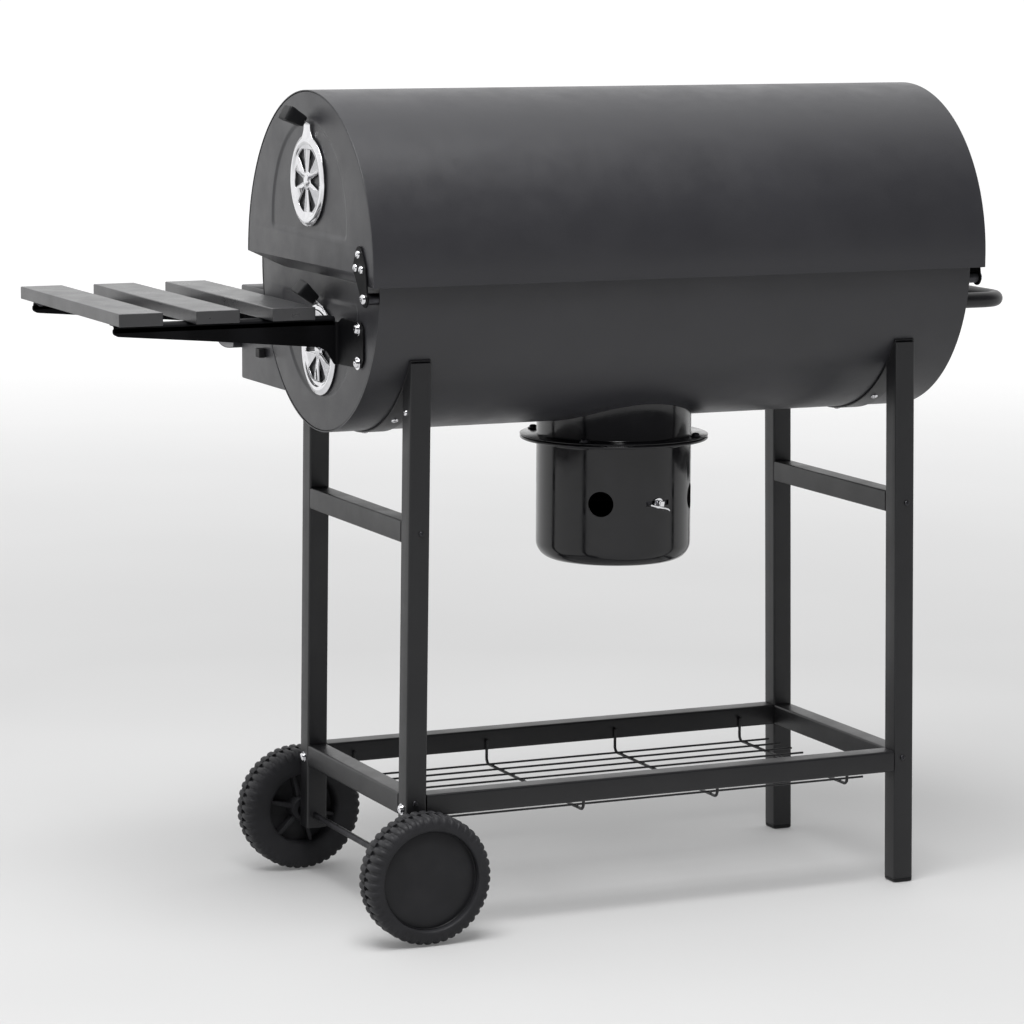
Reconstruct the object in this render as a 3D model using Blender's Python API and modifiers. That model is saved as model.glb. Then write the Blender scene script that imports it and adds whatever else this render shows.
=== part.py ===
"""Barrel charcoal grill: half-drum body and lid on a square-tube cart.

Units are metres, +Z is up.  +X is the wheel and side-shelf end, -X the push-handle end,
-Y the user's side, +Y the hinge side.
"""
import bpy
import bmesh
from math import acos, atan2, cos, pi, radians, sin, sqrt, tan
from mathutils import Matrix, Vector

for old in list(bpy.data.objects):
    bpy.data.objects.remove(old, do_unlink=True)

# ---------------------------------------------------------------- driving dimensions
SHIFT_X = -0.09335           # moves the drum frame so the whole grill is centred in X
SHIFT_Y = 0.0473             # and in Y
GAP = 0.0003                 # air left between pieces that touch

SHEET = 0.0016               # drum sheet thickness
DRUM_STEPS = 46              # facets in each half drum
BODY_R = 0.183               # lower drum outside radius
BODY_Z = 0.7432              # lower drum axis and rim height
BODY_HALF = 0.3753           # lower drum half length over the end caps
RIM_LIP = 0.006              # rolled lip standing out at the rim

LID_R = 0.196                # lid outside radius
LID_Z = 0.754                # lid axis height
LID_HALF = 0.3883            # lid half length
LID_REAR_Z = 0.7408          # lid edge height at the hinge side
LID_FRONT_Z = 0.7535         # lid edge height at the user's side
LID_END_Z = 0.7440           # lower edge of the lid's end plates
LID_END_Y = -0.0760          # where that edge starts to climb to the front corner
UPSTAND_Z = 0.7600           # top of the drum's front wall, inside the lid
HINGE_Y = 0.175              # lid pivot
HINGE_Z = 0.7276

PANEL_R = 0.118              # pressed D-shaped panel round each vent
PANEL_DEPTH = 0.0015
LID_PANEL_Z = 0.800          # centre of the lid panel arc
LID_PANEL_EDGE = 0.786       # straight lower edge of the lid panel
CAP_PANEL_Z = 0.716          # centre of the cap panel arc
CAP_PANEL_EDGE = 0.717       # straight upper edge of the cap panel

VENT_R = 0.052
VENT_T = 0.0012
LID_VENT_Z = 0.8475
CAP_VENT_Z = 0.6540
VENT_WINDOWS = 6
LID_VENT_TILT = 0.0          # rest angle of the tab off vertical, towards the user
CAP_VENT_TILT = -7.0
LID_VENT_TAB = (0.0645, 62.0, 0.006)     # bend radius, bend angle out of the disc and length of the tab
CAP_VENT_TAB = (0.0528, 50.0, 0.011)
KNOB_SECTIONS = ((0.0, 0.0048, 0.0076), (0.0030, 0.0055, 0.0084), (0.0120, 0.0058, 0.0088),
                 (0.0190, 0.0074, 0.0102), (0.0238, 0.0074, 0.0102), (0.0250, 0.0062, 0.0090))

TUBE = 0.0252                # square tube
TUBE_WALL = 0.0014
LEG_X_WHEEL = 0.3235
LEG_X_STAND = -0.3094
LEG_LEAN = {"wheel": -0.011, "stand": 0.018}    # inward lean of each leg frame, X per Z
LEAN_Z = 0.1494              # middle of the lower frame, where the lean is nil
LEG_Y = 0.1526
LEG_TOP_Z = 0.653
WHEEL_LEG_BOTTOM = 0.060
LOWER_FRAME_TOP = 0.1620
UPPER_BAR_TOP = 0.4737

WHEEL_R = 0.0745
WHEEL_W = 0.044
WHEEL_Y = 0.1965
AXLE_X = 0.3262
AXLE_R = 0.004
KNOBS = 26                   # tread blocks in each of the two rows

SLAT_L = 0.362
SLAT_W = 0.051
SLAT_T = 0.0145
SLAT_TOP = 0.7132
SLAT_Y = -0.0857
SLAT_X = (0.6212, 0.5317, 0.4421)
BRACKET_T = 0.002
BRACKET_REAR_Y = 0.0625      # outer face of the rear bracket web
BRACKET_FRONT_Y = -0.2340    # outer face of the front bracket web

BOX_FRONT_Y = -0.2550        # charcoal box in front of the drum
BOX_BOTTOM = 0.5950
BOX_TOP = 0.7080
DOOR_HINGE_Z = 0.7030
DOOR_HALF = 0.3840

POT_R = 0.092                # ash pot
POT_WALL = 0.0015
POT_BOTTOM = 0.3920
POT_BRIM_Z = 0.5370
FLANGE_R = 0.1120
AIR_HOLE_R = 0.015
AIR_HOLE_Z = 0.4680
CLIP_ANGLE = 99.0

HANDLE_R = 0.0092            # push handle tube
HANDLE_Y = 0.140
HANDLE_REACH = 0.0755
HANDLE_Z = 0.6965

SHELF_WIRE_R = 0.0016
SHELF_WIRE_Z = 0.1205
SHELF_WIRE_YS = [0.030 * k for k in range(-4, 5)]
SHELF_CROSS_XS = (-0.247, -0.0725, 0.102, 0.2765)

COAL_GRATE_Z = 0.6240
GRATE_Z = 0.7240             # cooking grates

# ---------------------------------------------------------------- scene helpers
parts = bpy.data.collections.new("barrel_charcoal_grill")
bpy.context.scene.collection.children.link(parts)
cutters = bpy.data.collections.new("cutters")
bpy.context.scene.collection.children.link(cutters)


def material(name, colour, roughness, metallic):
    mat = bpy.data.materials.new(name)
    mat.use_nodes = True
    shader = mat.node_tree.nodes["Principled BSDF"]
    shader.inputs["Base Color"].default_value = (*colour, 1.0)
    shader.inputs["Roughness"].default_value = roughness
    shader.inputs["Metallic"].default_value = metallic
    return mat


COAT = ("coat", (0.075, 0.075, 0.082), 0.45, 0.0)
FRAME = ("frame", (0.025, 0.025, 0.028), 0.40, 0.0)
ENAMEL = ("enamel", (0.018, 0.018, 0.020), 0.15, 0.0)
CHROME = ("chrome", (0.78, 0.78, 0.80), 0.12, 1.0)
ZINC = ("zinc", (0.55, 0.55, 0.56), 0.35, 1.0)
PLASTIC = ("plastic", (0.022, 0.022, 0.024), 0.55, 0.0)
SLAT = ("slat", (0.10, 0.10, 0.105), 0.50, 0.0)
IRON = ("iron", (0.030, 0.029, 0.028), 0.70, 0.0)


def add(name, bm, look, origin=(0.0, 0.0, 0.0), cutter=False):
    """Turn a bmesh given in drum coordinates into an object whose origin is at origin."""
    bmesh.ops.remove_doubles(bm, verts=bm.verts, dist=1e-7)
    bmesh.ops.recalc_face_normals(bm, faces=bm.faces)
    bmesh.ops.translate(bm, verts=bm.verts, vec=-Vector(origin))
    mesh = bpy.data.meshes.new(name)
    bm.to_mesh(mesh)
    bm.free()
    obj = bpy.data.objects.new(name, mesh)
    obj.location = Vector(origin) + Vector((SHIFT_X, SHIFT_Y, 0.0))
    if cutter:
        cutters.objects.link(obj)
        obj.hide_render = True
        obj.display_type = "WIRE"
    else:
        parts.objects.link(obj)
        obj.data.materials.append(material("mat_" + name, *look[1:]))
    return obj


def cut(obj, name, bm, operation="DIFFERENCE"):
    tool = add("cut_" + name, bm, None, cutter=True)
    mod = obj.modifiers.new(operation.lower(), "BOOLEAN")
    mod.operation = operation
    mod.solver = "EXACT"
    mod.object = tool
    return tool


def bevel(obj, width, segments=2, angle=35.0):
    mod = obj.modifiers.new("bevel", "BEVEL")
    mod.width = width
    mod.segments = segments
    mod.limit_method = "ANGLE"
    mod.angle_limit = radians(angle)


def box_bm(x0, x1, y0, y1, z0, z1, bm=None):
    bm = bm or bmesh.new()
    made = bmesh.ops.create_cube(bm, size=1.0)
    centre = Vector(((x0 + x1) / 2, (y0 + y1) / 2, (z0 + z1) / 2))
    bmesh.ops.scale(bm, verts=made["verts"], vec=(x1 - x0, y1 - y0, z1 - z0))
    bmesh.ops.translate(bm, verts=made["verts"], vec=centre)
    return bm


AXES = {
    "x": lambda a, b, c: Vector((c, a, b)),
    "y": lambda a, b, c: Vector((a, c, b)),
    "z": lambda a, b, c: Vector((a, b, c)),
}


def prism_bm(outline, axis, low, high, bm=None):
    """Extrude a closed 2-D outline along an axis: (y, z) for x, (x, z) for y, (x, y) for z."""
    bm = bm or bmesh.new()
    place = AXES[axis]
    bottom = [bm.verts.new(place(a, b, low)) for a, b in outline]
    top = [bm.verts.new(place(a, b, high)) for a, b in outline]
    bm.faces.new(bottom)
    bm.faces.new(top)
    count = len(outline)
    for i in range(count):
        j = (i + 1) % count
        bm.faces.new((bottom[i], bottom[j], top[j], top[i]))
    return bm


def arc(cx, cy, radius, start, end, steps):
    """Points on an arc, angles in degrees."""
    out = []
    for i in range(steps + 1):
        a = radians(start + (end - start) * i / steps)
        out.append((cx + radius * cos(a), cy + radius * sin(a)))
    return out


def circle(cx, cy, radius, steps):
    return arc(cx, cy, radius, 0.0, 360.0, steps)[:-1]


def cylinder_bm(axis, centre, radius, low, high, steps=32, bm=None):
    return prism_bm(circle(centre[0], centre[1], radius, steps), axis, low, high, bm)


def lathe_bm(profile, axis, centre, steps=48, bm=None):
    """Revolve a closed (radius, height) profile; all radii are above zero."""
    bm = bm or bmesh.new()
    place = AXES[axis]
    rings = []
    for i in range(steps):
        a = 2 * pi * i / steps
        rings.append([bm.verts.new(place(centre[0] + r * cos(a), centre[1] + r * sin(a), h))
                      for r, h in profile])
    for i in range(steps):
        here = rings[i]
        there = rings[(i + 1) % steps]
        for j in range(len(profile)):
            k = (j + 1) % len(profile)
            bm.faces.new((here[j], there[j], there[k], here[k]))
    return bm


def turned_bm(profile, axis, centre, steps=32, bm=None):
    """Revolve an open (radius, height) profile that starts and ends on the axis."""
    bm = bm or bmesh.new()
    place = AXES[axis]
    first = bm.verts.new(place(centre[0], centre[1], profile[0][1]))
    last = bm.verts.new(place(centre[0], centre[1], profile[-1][1]))
    rings = []
    for i in range(steps):
        a = 2 * pi * i / steps
        rings.append([bm.verts.new(place(centre[0] + r * cos(a), centre[1] + r * sin(a), h))
                      for r, h in profile[1:-1]])
    for i in range(steps):
        here = rings[i]
        there = rings[(i + 1) % steps]
        bm.faces.new((first, here[0], there[0]))
        for j in range(len(here) - 1):
            bm.faces.new((here[j], there[j], there[j + 1], here[j + 1]))
        bm.faces.new((last, there[-1], here[-1]))
    return bm


def rounded_path(points, radius, steps=6):
    """Replace the inner corners of a polyline with arcs."""
    points = [Vector(p) for p in points]
    out = [points[0]]
    for before, corner, after in zip(points, points[1:], points[2:]):
        a = (before - corner).normalized()
        b = (after - corner).normalized()
        half = a.angle(b) / 2
        reach = min(radius / tan(half), (before - corner).length * 0.49, (after - corner).length * 0.49)
        r = reach * tan(half)
        centre = corner + (a + b).normalized() * (r / sin(half))
        start = (corner + a * reach - centre).normalized()
        end = (corner + b * reach - centre).normalized()
        for i in range(steps + 1):
            out.append(centre + start.slerp(end, i / steps) * r)
    out.append(points[-1])
    return out


def tube_bm(path, radius, sides=12, bm=None):
    """Round bar swept along a path, with flat ends."""
    bm = bm or bmesh.new()
    path = [Vector(p) for p in path]
    tangents = []
    for i in range(len(path)):
        a = path[max(i - 1, 0)]
        b = path[min(i + 1, len(path) - 1)]
        tangents.append((b - a).normalized())
    normal = tangents[0].orthogonal().normalized()
    rings = []
    for point, tangent in zip(path, tangents):
        normal = (normal - tangent * normal.dot(tangent)).normalized()
        side = tangent.cross(normal)
        rings.append([bm.verts.new(point + (normal * cos(2 * pi * k / sides)
                                            + side * sin(2 * pi * k / sides)) * radius)
                      for k in range(sides)])
    for here, there in zip(rings, rings[1:]):
        for k in range(sides):
            m = (k + 1) % sides
            bm.faces.new((here[k], here[m], there[m], there[k]))
    bm.faces.new(rings[0][::-1])
    bm.faces.new(rings[-1])
    return bm


def join_bars(name, bars, look, origin=(0.0, 0.0, 0.0)):
    """One closed body out of several crossing bars."""
    obj = add(name, bars[0], look, origin)
    for i, bm in enumerate(bars[1:]):
        cut(obj, "%s_%d" % (name, i), bm, "UNION")
    return obj


def d_panel(centre_z, edge_z, radius, inset=0.0, corner=0.008):
    """Half-round outline with a straight edge and rounded corners, in (y, z)."""
    r = radius - inset
    up = edge_z < centre_z + 0.001
    sign = 1.0 if up else -1.0
    edge = edge_z + sign * inset
    drop = (edge - centre_z) * sign
    c = corner - inset * 0.5
    mid = drop + c
    across = sqrt(max((r - c) ** 2 - mid ** 2, 0.0))
    start = atan2(mid, across)
    pts = []
    for y, z in arc(across, mid, c, -90.0, start * 180 / pi, 3):
        pts.append((y, z))
    for y, z in arc(0.0, 0.0, r, start * 180 / pi, 180 - start * 180 / pi, 24)[1:-1]:
        pts.append((y, z))
    for y, z in arc(-across, mid, c, 180 - start * 180 / pi, 270.0, 3):
        pts.append((y, z))
    return [(y, centre_z + sign * z) for y, z in pts]


def press_panel(obj, name, outline_fn, face_x, sign):
    """Press a shallow D-shaped panel into an end plate: a pad inside, a pocket outside."""
    inner = face_x - sign * SHEET
    pad_low, pad_high = sorted((inner - sign * PANEL_DEPTH, inner + sign * 0.0004))
    cut(obj, name + "_pad", prism_bm(outline_fn(-SHEET), "x", pad_low, pad_high), "UNION")
    low, high = sorted((face_x - sign * PANEL_DEPTH, face_x + sign * 0.004))
    cut(obj, name + "_pocket", prism_bm(outline_fn(0.0), "x", low, high))


def vent_holes(centre_z, low, high, offset):
    """Air holes in the sheet that the vent windows line up with when it is turned."""
    bm = bmesh.new()
    for k in range(VENT_WINDOWS):
        a = radians(offset + 60.0 * k)
        cylinder_bm("x", (0.029 * sin(a), centre_z + 0.029 * cos(a)), 0.0065, low, high, 10, bm)
    cylinder_bm("x", (0.0, centre_z), 0.0033, low, high, 12, bm)
    return bm


# ---------------------------------------------------------------- lower drum
def drum_outline(radius, lift=0.0):
    """Lower half circle in (y, z), closed across the rim or lifted above it."""
    half = arc(0.0, BODY_Z, radius, 180.0, 360.0, DRUM_STEPS)
    return half + [(radius, BODY_Z + lift), (-radius, BODY_Z + lift)] if lift else half


SHELL_HALF = BODY_HALF - SHEET - GAP
body = add("barrel_shell", prism_bm(drum_outline(BODY_R), "x", -SHELL_HALF, SHELL_HALF), COAT)
rear_lip = box_bm(-SHELL_HALF, SHELL_HALF, BODY_R - 0.004, BODY_R + RIM_LIP, BODY_Z - SHEET, BODY_Z)
cut(body, "shell_lip", rear_lip, "UNION")
front_wall = box_bm(-SHELL_HALF, SHELL_HALF, -BODY_R, -BODY_R + SHEET, BODY_Z - 0.004, UPSTAND_Z)
cut(body, "shell_front", front_wall, "UNION")
cut(body, "shell_inside", prism_bm(drum_outline(BODY_R - SHEET, 0.02), "x", -0.5, 0.5))
cut(body, "shell_ash_hole", cylinder_bm("z", (0.0, 0.0), 0.0800, 0.50, 0.62, 48))
cut(body, "shell_coal_door", box_bm(-0.280, 0.280, -0.30, -0.05, BOX_BOTTOM + 0.012, BOX_TOP - 0.012))
shell_slots = bmesh.new()
for sx in (-1, 1):
    for sy in (-1, 1):
        cylinder_bm("z", (sx * 0.20, sy * 0.03), 0.005, 0.50, 0.62, 12, shell_slots)
cut(body, "shell_drain", shell_slots)


def end_cap(name, sign):
    low, high = sorted((sign * (BODY_HALF - SHEET), sign * BODY_HALF))
    upstand = [(-0.0600, BODY_Z), (-0.1000, UPSTAND_Z), (-BODY_R, UPSTAND_Z)]
    cap = add(name, prism_bm(drum_outline(BODY_R) + upstand, "x", low, high), COAT)
    press_panel(cap, name, lambda inset: d_panel(CAP_PANEL_Z, CAP_PANEL_EDGE, PANEL_R, inset),
                sign * BODY_HALF, sign)
    return cap


cap_wheel = end_cap("end_cap_wheel_side", 1)
cap_handle = end_cap("end_cap_handle_side", -1)
cut(cap_wheel, "cap_vent_holes", vent_holes(CAP_VENT_Z, 0.36, 0.39, 0.0 - CAP_VENT_TILT))

# ---------------------------------------------------------------- lid
def lid_outline(radius, drop=0.0):
    """Lid section in (y, z); its lower edge is level and then climbs to the front corner."""
    edge = [(-radius, LID_FRONT_Z - drop), (LID_END_Y, LID_END_Z - drop), (0.150, LID_END_Z - drop)]
    return [(radius, LID_REAR_Z - drop)] + arc(0.0, LID_Z, radius, 0.0, 180.0, DRUM_STEPS) + edge


PIVOT = (0.0, HINGE_Y, HINGE_Z)
lid = add("lid_shell", prism_bm(lid_outline(LID_R), "x", -LID_HALF, LID_HALF), COAT, PIVOT)
bevel(lid, 0.0020, 2, 60.0)
lid_inside = prism_bm(lid_outline(LID_R - SHEET, 0.03), "x", -LID_HALF + SHEET, LID_HALF - SHEET)
cut(lid, "lid_inside", lid_inside)
for lid_end in (1, -1):
    press_panel(lid, "lid_panel_%s" % ("a" if lid_end > 0 else "b"),
                lambda inset: d_panel(LID_PANEL_Z, LID_PANEL_EDGE, PANEL_R, inset),
                lid_end * LID_HALF, lid_end)
cut(lid, "lid_vent_holes", vent_holes(LID_VENT_Z, 0.37, 0.40, 0.0 - LID_VENT_TILT))
THERMO_TILT = 38.0
thermo_dir = Vector((0.0, -cos(radians(THERMO_TILT)), sin(radians(THERMO_TILT))))
thermo_at = Vector((0.0, 0.0, LID_Z)) + thermo_dir * LID_R


def along(axis_dir, origin, bm):
    """Turn a bmesh built along +Z onto another direction and place it."""
    turn = Vector((0.0, 0.0, 1.0)).rotation_difference(Vector(axis_dir)).to_matrix().to_4x4()
    bmesh.ops.transform(bm, verts=bm.verts, matrix=Matrix.Translation(Vector(origin)) @ turn)
    return bm


thermo_hole = cylinder_bm("z", (0.0, 0.0), 0.0053, -0.02, 0.02, 20)
cut(lid, "lid_thermo_hole", along(thermo_dir, thermo_at, thermo_hole))

# long front handle on two posts
HANDLE_TILT = 14.0
LID_HANDLE_OUT = 0.050
lid_dir = Vector((0.0, -cos(radians(HANDLE_TILT)), sin(radians(HANDLE_TILT))))
lid_axis = Vector((0.0, 0.0, LID_Z))
bar_at = lid_axis + lid_dir * (LID_R + LID_HANDLE_OUT)
bar = tube_bm([(-0.235, bar_at.y, bar_at.z), (0.235, bar_at.y, bar_at.z)], 0.0100, 20)
lid_bar = add("lid_handle_bar", bar, PLASTIC, PIVOT)
bevel(lid_bar, 0.0015, 2)
for side, sx in (("wheel_side", 1), ("handle_side", -1)):
    post_at = Vector((sx * 0.200, 0.0, LID_Z)) + lid_dir * (LID_R + 0.0006)
    profile = [(0.0, 0.0), (0.0130, 0.0), (0.0130, 0.003), (0.0065, 0.005), (0.0060, 0.034),
               (0.0085, LID_HANDLE_OUT - 0.0112), (0.0, LID_HANDLE_OUT - 0.0112)]
    add("lid_handle_post_" + side, along(lid_dir, post_at, turned_bm(profile, "z", (0.0, 0.0), 16)),
        CHROME, PIVOT)

# dial thermometer with its probe through the lid
thermo_profile = [(0.0, -0.045), (0.0022, -0.045), (0.0022, -0.014), (0.0048, -0.013), (0.0048, 0.0010),
                  (0.0240, 0.0010), (0.0262, 0.0030), (0.0262, 0.0110), (0.0245, 0.0128),
                  (0.0225, 0.0128), (0.0222, 0.0112), (0.0, 0.0112)]
thermo = turned_bm(thermo_profile, "z", (0.0, 0.0), 24)
add("lid_thermometer", along(thermo_dir, thermo_at, thermo), CHROME, PIVOT)

# ---------------------------------------------------------------- hinges
def teardrop():
    """Outline round three fixing points, running down to the pivot."""
    top = arc(0.1580, 0.7760, 0.0090, 30.0, 150.0, 6)
    left = arc(0.1490, 0.7600, 0.0085, 150.0, 250.0, 5)
    eye = arc(HINGE_Y, HINGE_Z, 0.0095, 205.0, 395.0, 9)
    right = arc(0.1700, 0.7595, 0.0080, -5.0, 30.0, 3)
    return top + left + eye + right


for side, sign in (("wheel_side", 1), ("handle_side", -1)):
    low, high = sorted((sign * (LID_HALF + GAP), sign * (LID_HALF + 0.0023)))
    plate = add("hinge_plate_" + side, prism_bm(teardrop(), "x", low, high), COAT, PIVOT)
    low, high = sorted((sign * 0.36, sign * 0.42))
    cut(plate, "hinge_eye_" + side, cylinder_bm("x", (HINGE_Y, HINGE_Z), 0.0036, low, high, 24))
    cap_back = BODY_HALF - SHEET - GAP
    profile = [(0.0, 0.3690), (0.0046, 0.3690), (0.0046, cap_back), (0.0033, cap_back),
               (0.0033, BODY_HALF + GAP), (0.0066, BODY_HALF + GAP), (0.0066, LID_HALF), (0.0033, LID_HALF),
               (0.0033, LID_HALF + 0.0026), (0.0062, LID_HALF + 0.0026), (0.0062, LID_HALF + 0.0052),
               (0.0045, LID_HALF + 0.0068), (0.0, LID_HALF + 0.0072)]
    pin = turned_bm([(r, sign * h) for r, h in profile], "x", (HINGE_Y, HINGE_Z), 14)
    add("hinge_pin_" + side, pin, CHROME, PIVOT)
    cap = cap_wheel if sign > 0 else cap_handle
    cut(cap, "cap_pin_" + side, cylinder_bm("x", (HINGE_Y, HINGE_Z), 0.0036, low, high, 24))

# ---------------------------------------------------------------- vents
def loft_bm(sections):
    """Closed solid through cross-sections that have the same number of corners."""
    bm = bmesh.new()
    rings = [[bm.verts.new(corner) for corner in section] for section in sections]
    for a, b in zip(rings, rings[1:]):
        for k in range(len(a)):
            m = (k + 1) % len(a)
            bm.faces.new((a[k], a[m], b[m], b[k]))
    bm.faces.new(rings[0][::-1])
    bm.faces.new(rings[-1])
    bmesh.ops.recalc_face_normals(bm, faces=bm.faces)
    return bm


def vent(name, face_x, centre_z, tilt, tab):
    """Round disc with windows, and a bent tab that carries the knob."""
    origin = (face_x, 0.0, centre_z)
    low = face_x + GAP
    turn = radians(tilt)
    neck, lean, tab_length = tab[0], radians(tab[1]), tab[2]

    def spun(points):
        return [(y * cos(turn) - z * sin(turn), centre_z + y * sin(turn) + z * cos(turn)) for y, z in points]

    outline = arc(0.0, 0.0, VENT_R, -252.0, 72.0, 40) + [(0.0125, 0.0515), (0.0100, neck), (-0.0100, neck),
                                                         (-0.0125, 0.0515)]
    disc = add(name + "_disc", prism_bm(spun(outline), "x", low, low + VENT_T), CHROME, origin)
    ring = [(0.0415, low + 0.0006), (0.0508, low + 0.0006), (0.0495, low + 0.0032), (0.0450, low + 0.0032)]
    cut(disc, name + "_bead", lathe_bm(ring, "x", (0.0, centre_z), 40), "UNION")
    windows = bmesh.new()
    for k in range(VENT_WINDOWS):
        mid = 30.0 + 60.0 * k + 90.0 + tilt
        inner = arc(0.0, centre_z, 0.0115, mid - 11.0, mid + 11.0, 2)
        outer = arc(0.0, centre_z, 0.0375, mid + 14.5, mid - 14.5, 6)
        prism_bm(inner + outer, "x", low - 0.004, low + 0.006, windows)
    cut(disc, name + "_windows", windows)
    cut(disc, name + "_bore", cylinder_bm("x", (0.0, centre_z), 0.0036, low - 0.004, low + 0.006, 24))

    def section(along_tab, half_thick, half_wide):
        """Four corners of a cross-section at a distance along the bent tab."""
        x = low + VENT_T / 2 + along_tab * sin(lean)
        r = neck - 0.0006 + along_tab * cos(lean)
        corners = []
        for side, face in ((-1, -1), (1, -1), (1, 1), (-1, 1)):
            y, z = spun([(side * half_wide, r - face * half_thick * sin(lean))])[0]
            corners.append((x + face * half_thick * cos(lean), y, z))
        return corners

    strip = [section(0.0, VENT_T / 2, 0.0095), section(tab_length, VENT_T / 2, 0.0090)]
    cut(disc, name + "_tab", loft_bm(strip), "UNION")
    sections = [section(tab_length + GAP + s, thick, wide) for s, thick, wide in KNOB_SECTIONS]
    knob = add(name + "_knob", loft_bm(sections), PLASTIC, origin)
    bevel(knob, 0.0014, 2, 25.0)
    back = -PANEL_DEPTH - SHEET - GAP
    profile = [(0.0, back - 0.0016), (0.0060, back - 0.0016), (0.0060, back), (0.0030, back),
               (0.0030, VENT_T + 2 * GAP),
               (0.0062, VENT_T + 2 * GAP), (0.0056, VENT_T + 0.0030), (0.0, VENT_T + 0.0038)]
    rivet = turned_bm([(r, face_x + h) for r, h in profile], "x", (0.0, centre_z), 14)
    add(name + "_rivet", rivet, CHROME, origin)


vent("lid_vent", LID_HALF, LID_VENT_Z, LID_VENT_TILT, LID_VENT_TAB)
vent("cap_vent", BODY_HALF, CAP_VENT_Z, CAP_VENT_TILT, CAP_VENT_TAB)

# ---------------------------------------------------------------- side shelf
for i, slat_x in enumerate(SLAT_X):
    slat = add("shelf_slat_%d" % (i + 1),
               box_bm(slat_x - SLAT_W / 2, slat_x + SLAT_W / 2, SLAT_Y - SLAT_L / 2, SLAT_Y + SLAT_L / 2,
                      SLAT_TOP - SLAT_T, SLAT_TOP), SLAT)
    bevel(slat, 0.0012, 2)

BRACKET_TOP = SLAT_TOP - SLAT_T - GAP
BRACKET_ROOT = BODY_HALF + GAP


def shelf_bracket(name, web_y, inward):
    """Tapered sheet web with a top flange under the slats and a flange bolted to the body."""
    y0, y1 = sorted((web_y, web_y + inward * BRACKET_T))
    top = BRACKET_TOP - 0.0004
    root = BRACKET_ROOT + 0.0006
    web = [(0.6430, top), (0.6430, 0.6875), (0.6400, 0.6850), (0.5230, 0.6752), (0.3990, 0.6640),
           (0.3930, 0.6600), (0.3870, 0.6520), (0.3830, 0.6450), (root, 0.6438), (root, top)]
    obj = add(name, prism_bm(web, "y", y0, y1), FRAME)
    f0, f1 = sorted((web_y + inward * 0.0004, web_y + inward * 0.016))
    flange = box_bm(BRACKET_ROOT + 0.0010, 0.6410, f0, f1, BRACKET_TOP - BRACKET_T, BRACKET_TOP)
    cut(obj, name + "_top", flange, "UNION")
    g0 = y0 + 0.0003
    foot = [(g0, BRACKET_TOP - 0.0008), (g0, 0.6432), (g0 + 0.070, 0.6465), (g0 + 0.076, 0.6500),
            (g0 + 0.078, 0.6560), (g0 + 0.078, BRACKET_TOP - 0.006), (g0 + 0.072, BRACKET_TOP - 0.0008)]
    cut(obj, name + "_foot", prism_bm(foot, "x", BRACKET_ROOT, BRACKET_ROOT + BRACKET_T), "UNION")
    return obj


shelf_bracket("shelf_bracket_rear", BRACKET_REAR_Y, -1)
shelf_bracket("shelf_bracket_front", BRACKET_FRONT_Y, 1)

# ---------------------------------------------------------------- push handle
handle_root, handle_end = -BODY_HALF - 0.0025, -BODY_HALF - HANDLE_REACH
path = rounded_path([(handle_root, -HANDLE_Y, HANDLE_Z), (handle_end, -HANDLE_Y, HANDLE_Z),
                     (handle_end, HANDLE_Y, HANDLE_Z), (handle_root, HANDLE_Y, HANDLE_Z)],
                    0.032, 8)
push = add("push_handle", tube_bm(path, HANDLE_R, 12), FRAME)
for k, sy in enumerate((-1, 1)):
    foot = cylinder_bm("x", (sy * HANDLE_Y, HANDLE_Z), 0.0155, -BODY_HALF - 0.0030, -BODY_HALF - GAP, 24)
    cut(push, "push_foot_%d" % k, foot, "UNION")

# ---------------------------------------------------------------- square-tube frame
STRAP_T = 0.0020
STRAP_END_Y = 0.1615         # half width that a strap reaches, inside the leg tops
STRAP_R = BODY_R + GAP
HALF_TUBE = TUBE / 2


def lean(obj, end):
    """Tip a piece of a leg frame inwards by sliding it in X in step with its height."""
    cutters = [mod.object for mod in obj.modifiers if mod.type == "BOOLEAN"]
    for solid in [obj] + cutters:
        for vert in solid.data.vertices:
            vert.co.x += LEG_LEAN[end] * (vert.co.z - LEAN_Z)


def square_tube(name, x, y, z0, z1):
    """Upright leg: hollow, open below, coped to the cradle strap above."""
    leg = add(name, box_bm(x - HALF_TUBE, x + HALF_TUBE, y - HALF_TUBE, y + HALF_TUBE, z0, z1), FRAME)
    bevel(leg, 0.0012, 2)
    inner = HALF_TUBE - TUBE_WALL
    cut(leg, name + "_bore", box_bm(x - inner, x + inner, y - inner, y + inner, z0 - 0.01, z1 + 0.05))
    cradle_r = STRAP_R + STRAP_T + GAP
    cut(leg, name + "_cope", cylinder_bm("x", (0.0, BODY_Z), cradle_r, x - 0.05, x + 0.05, 2 * DRUM_STEPS))
    return leg


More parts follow.
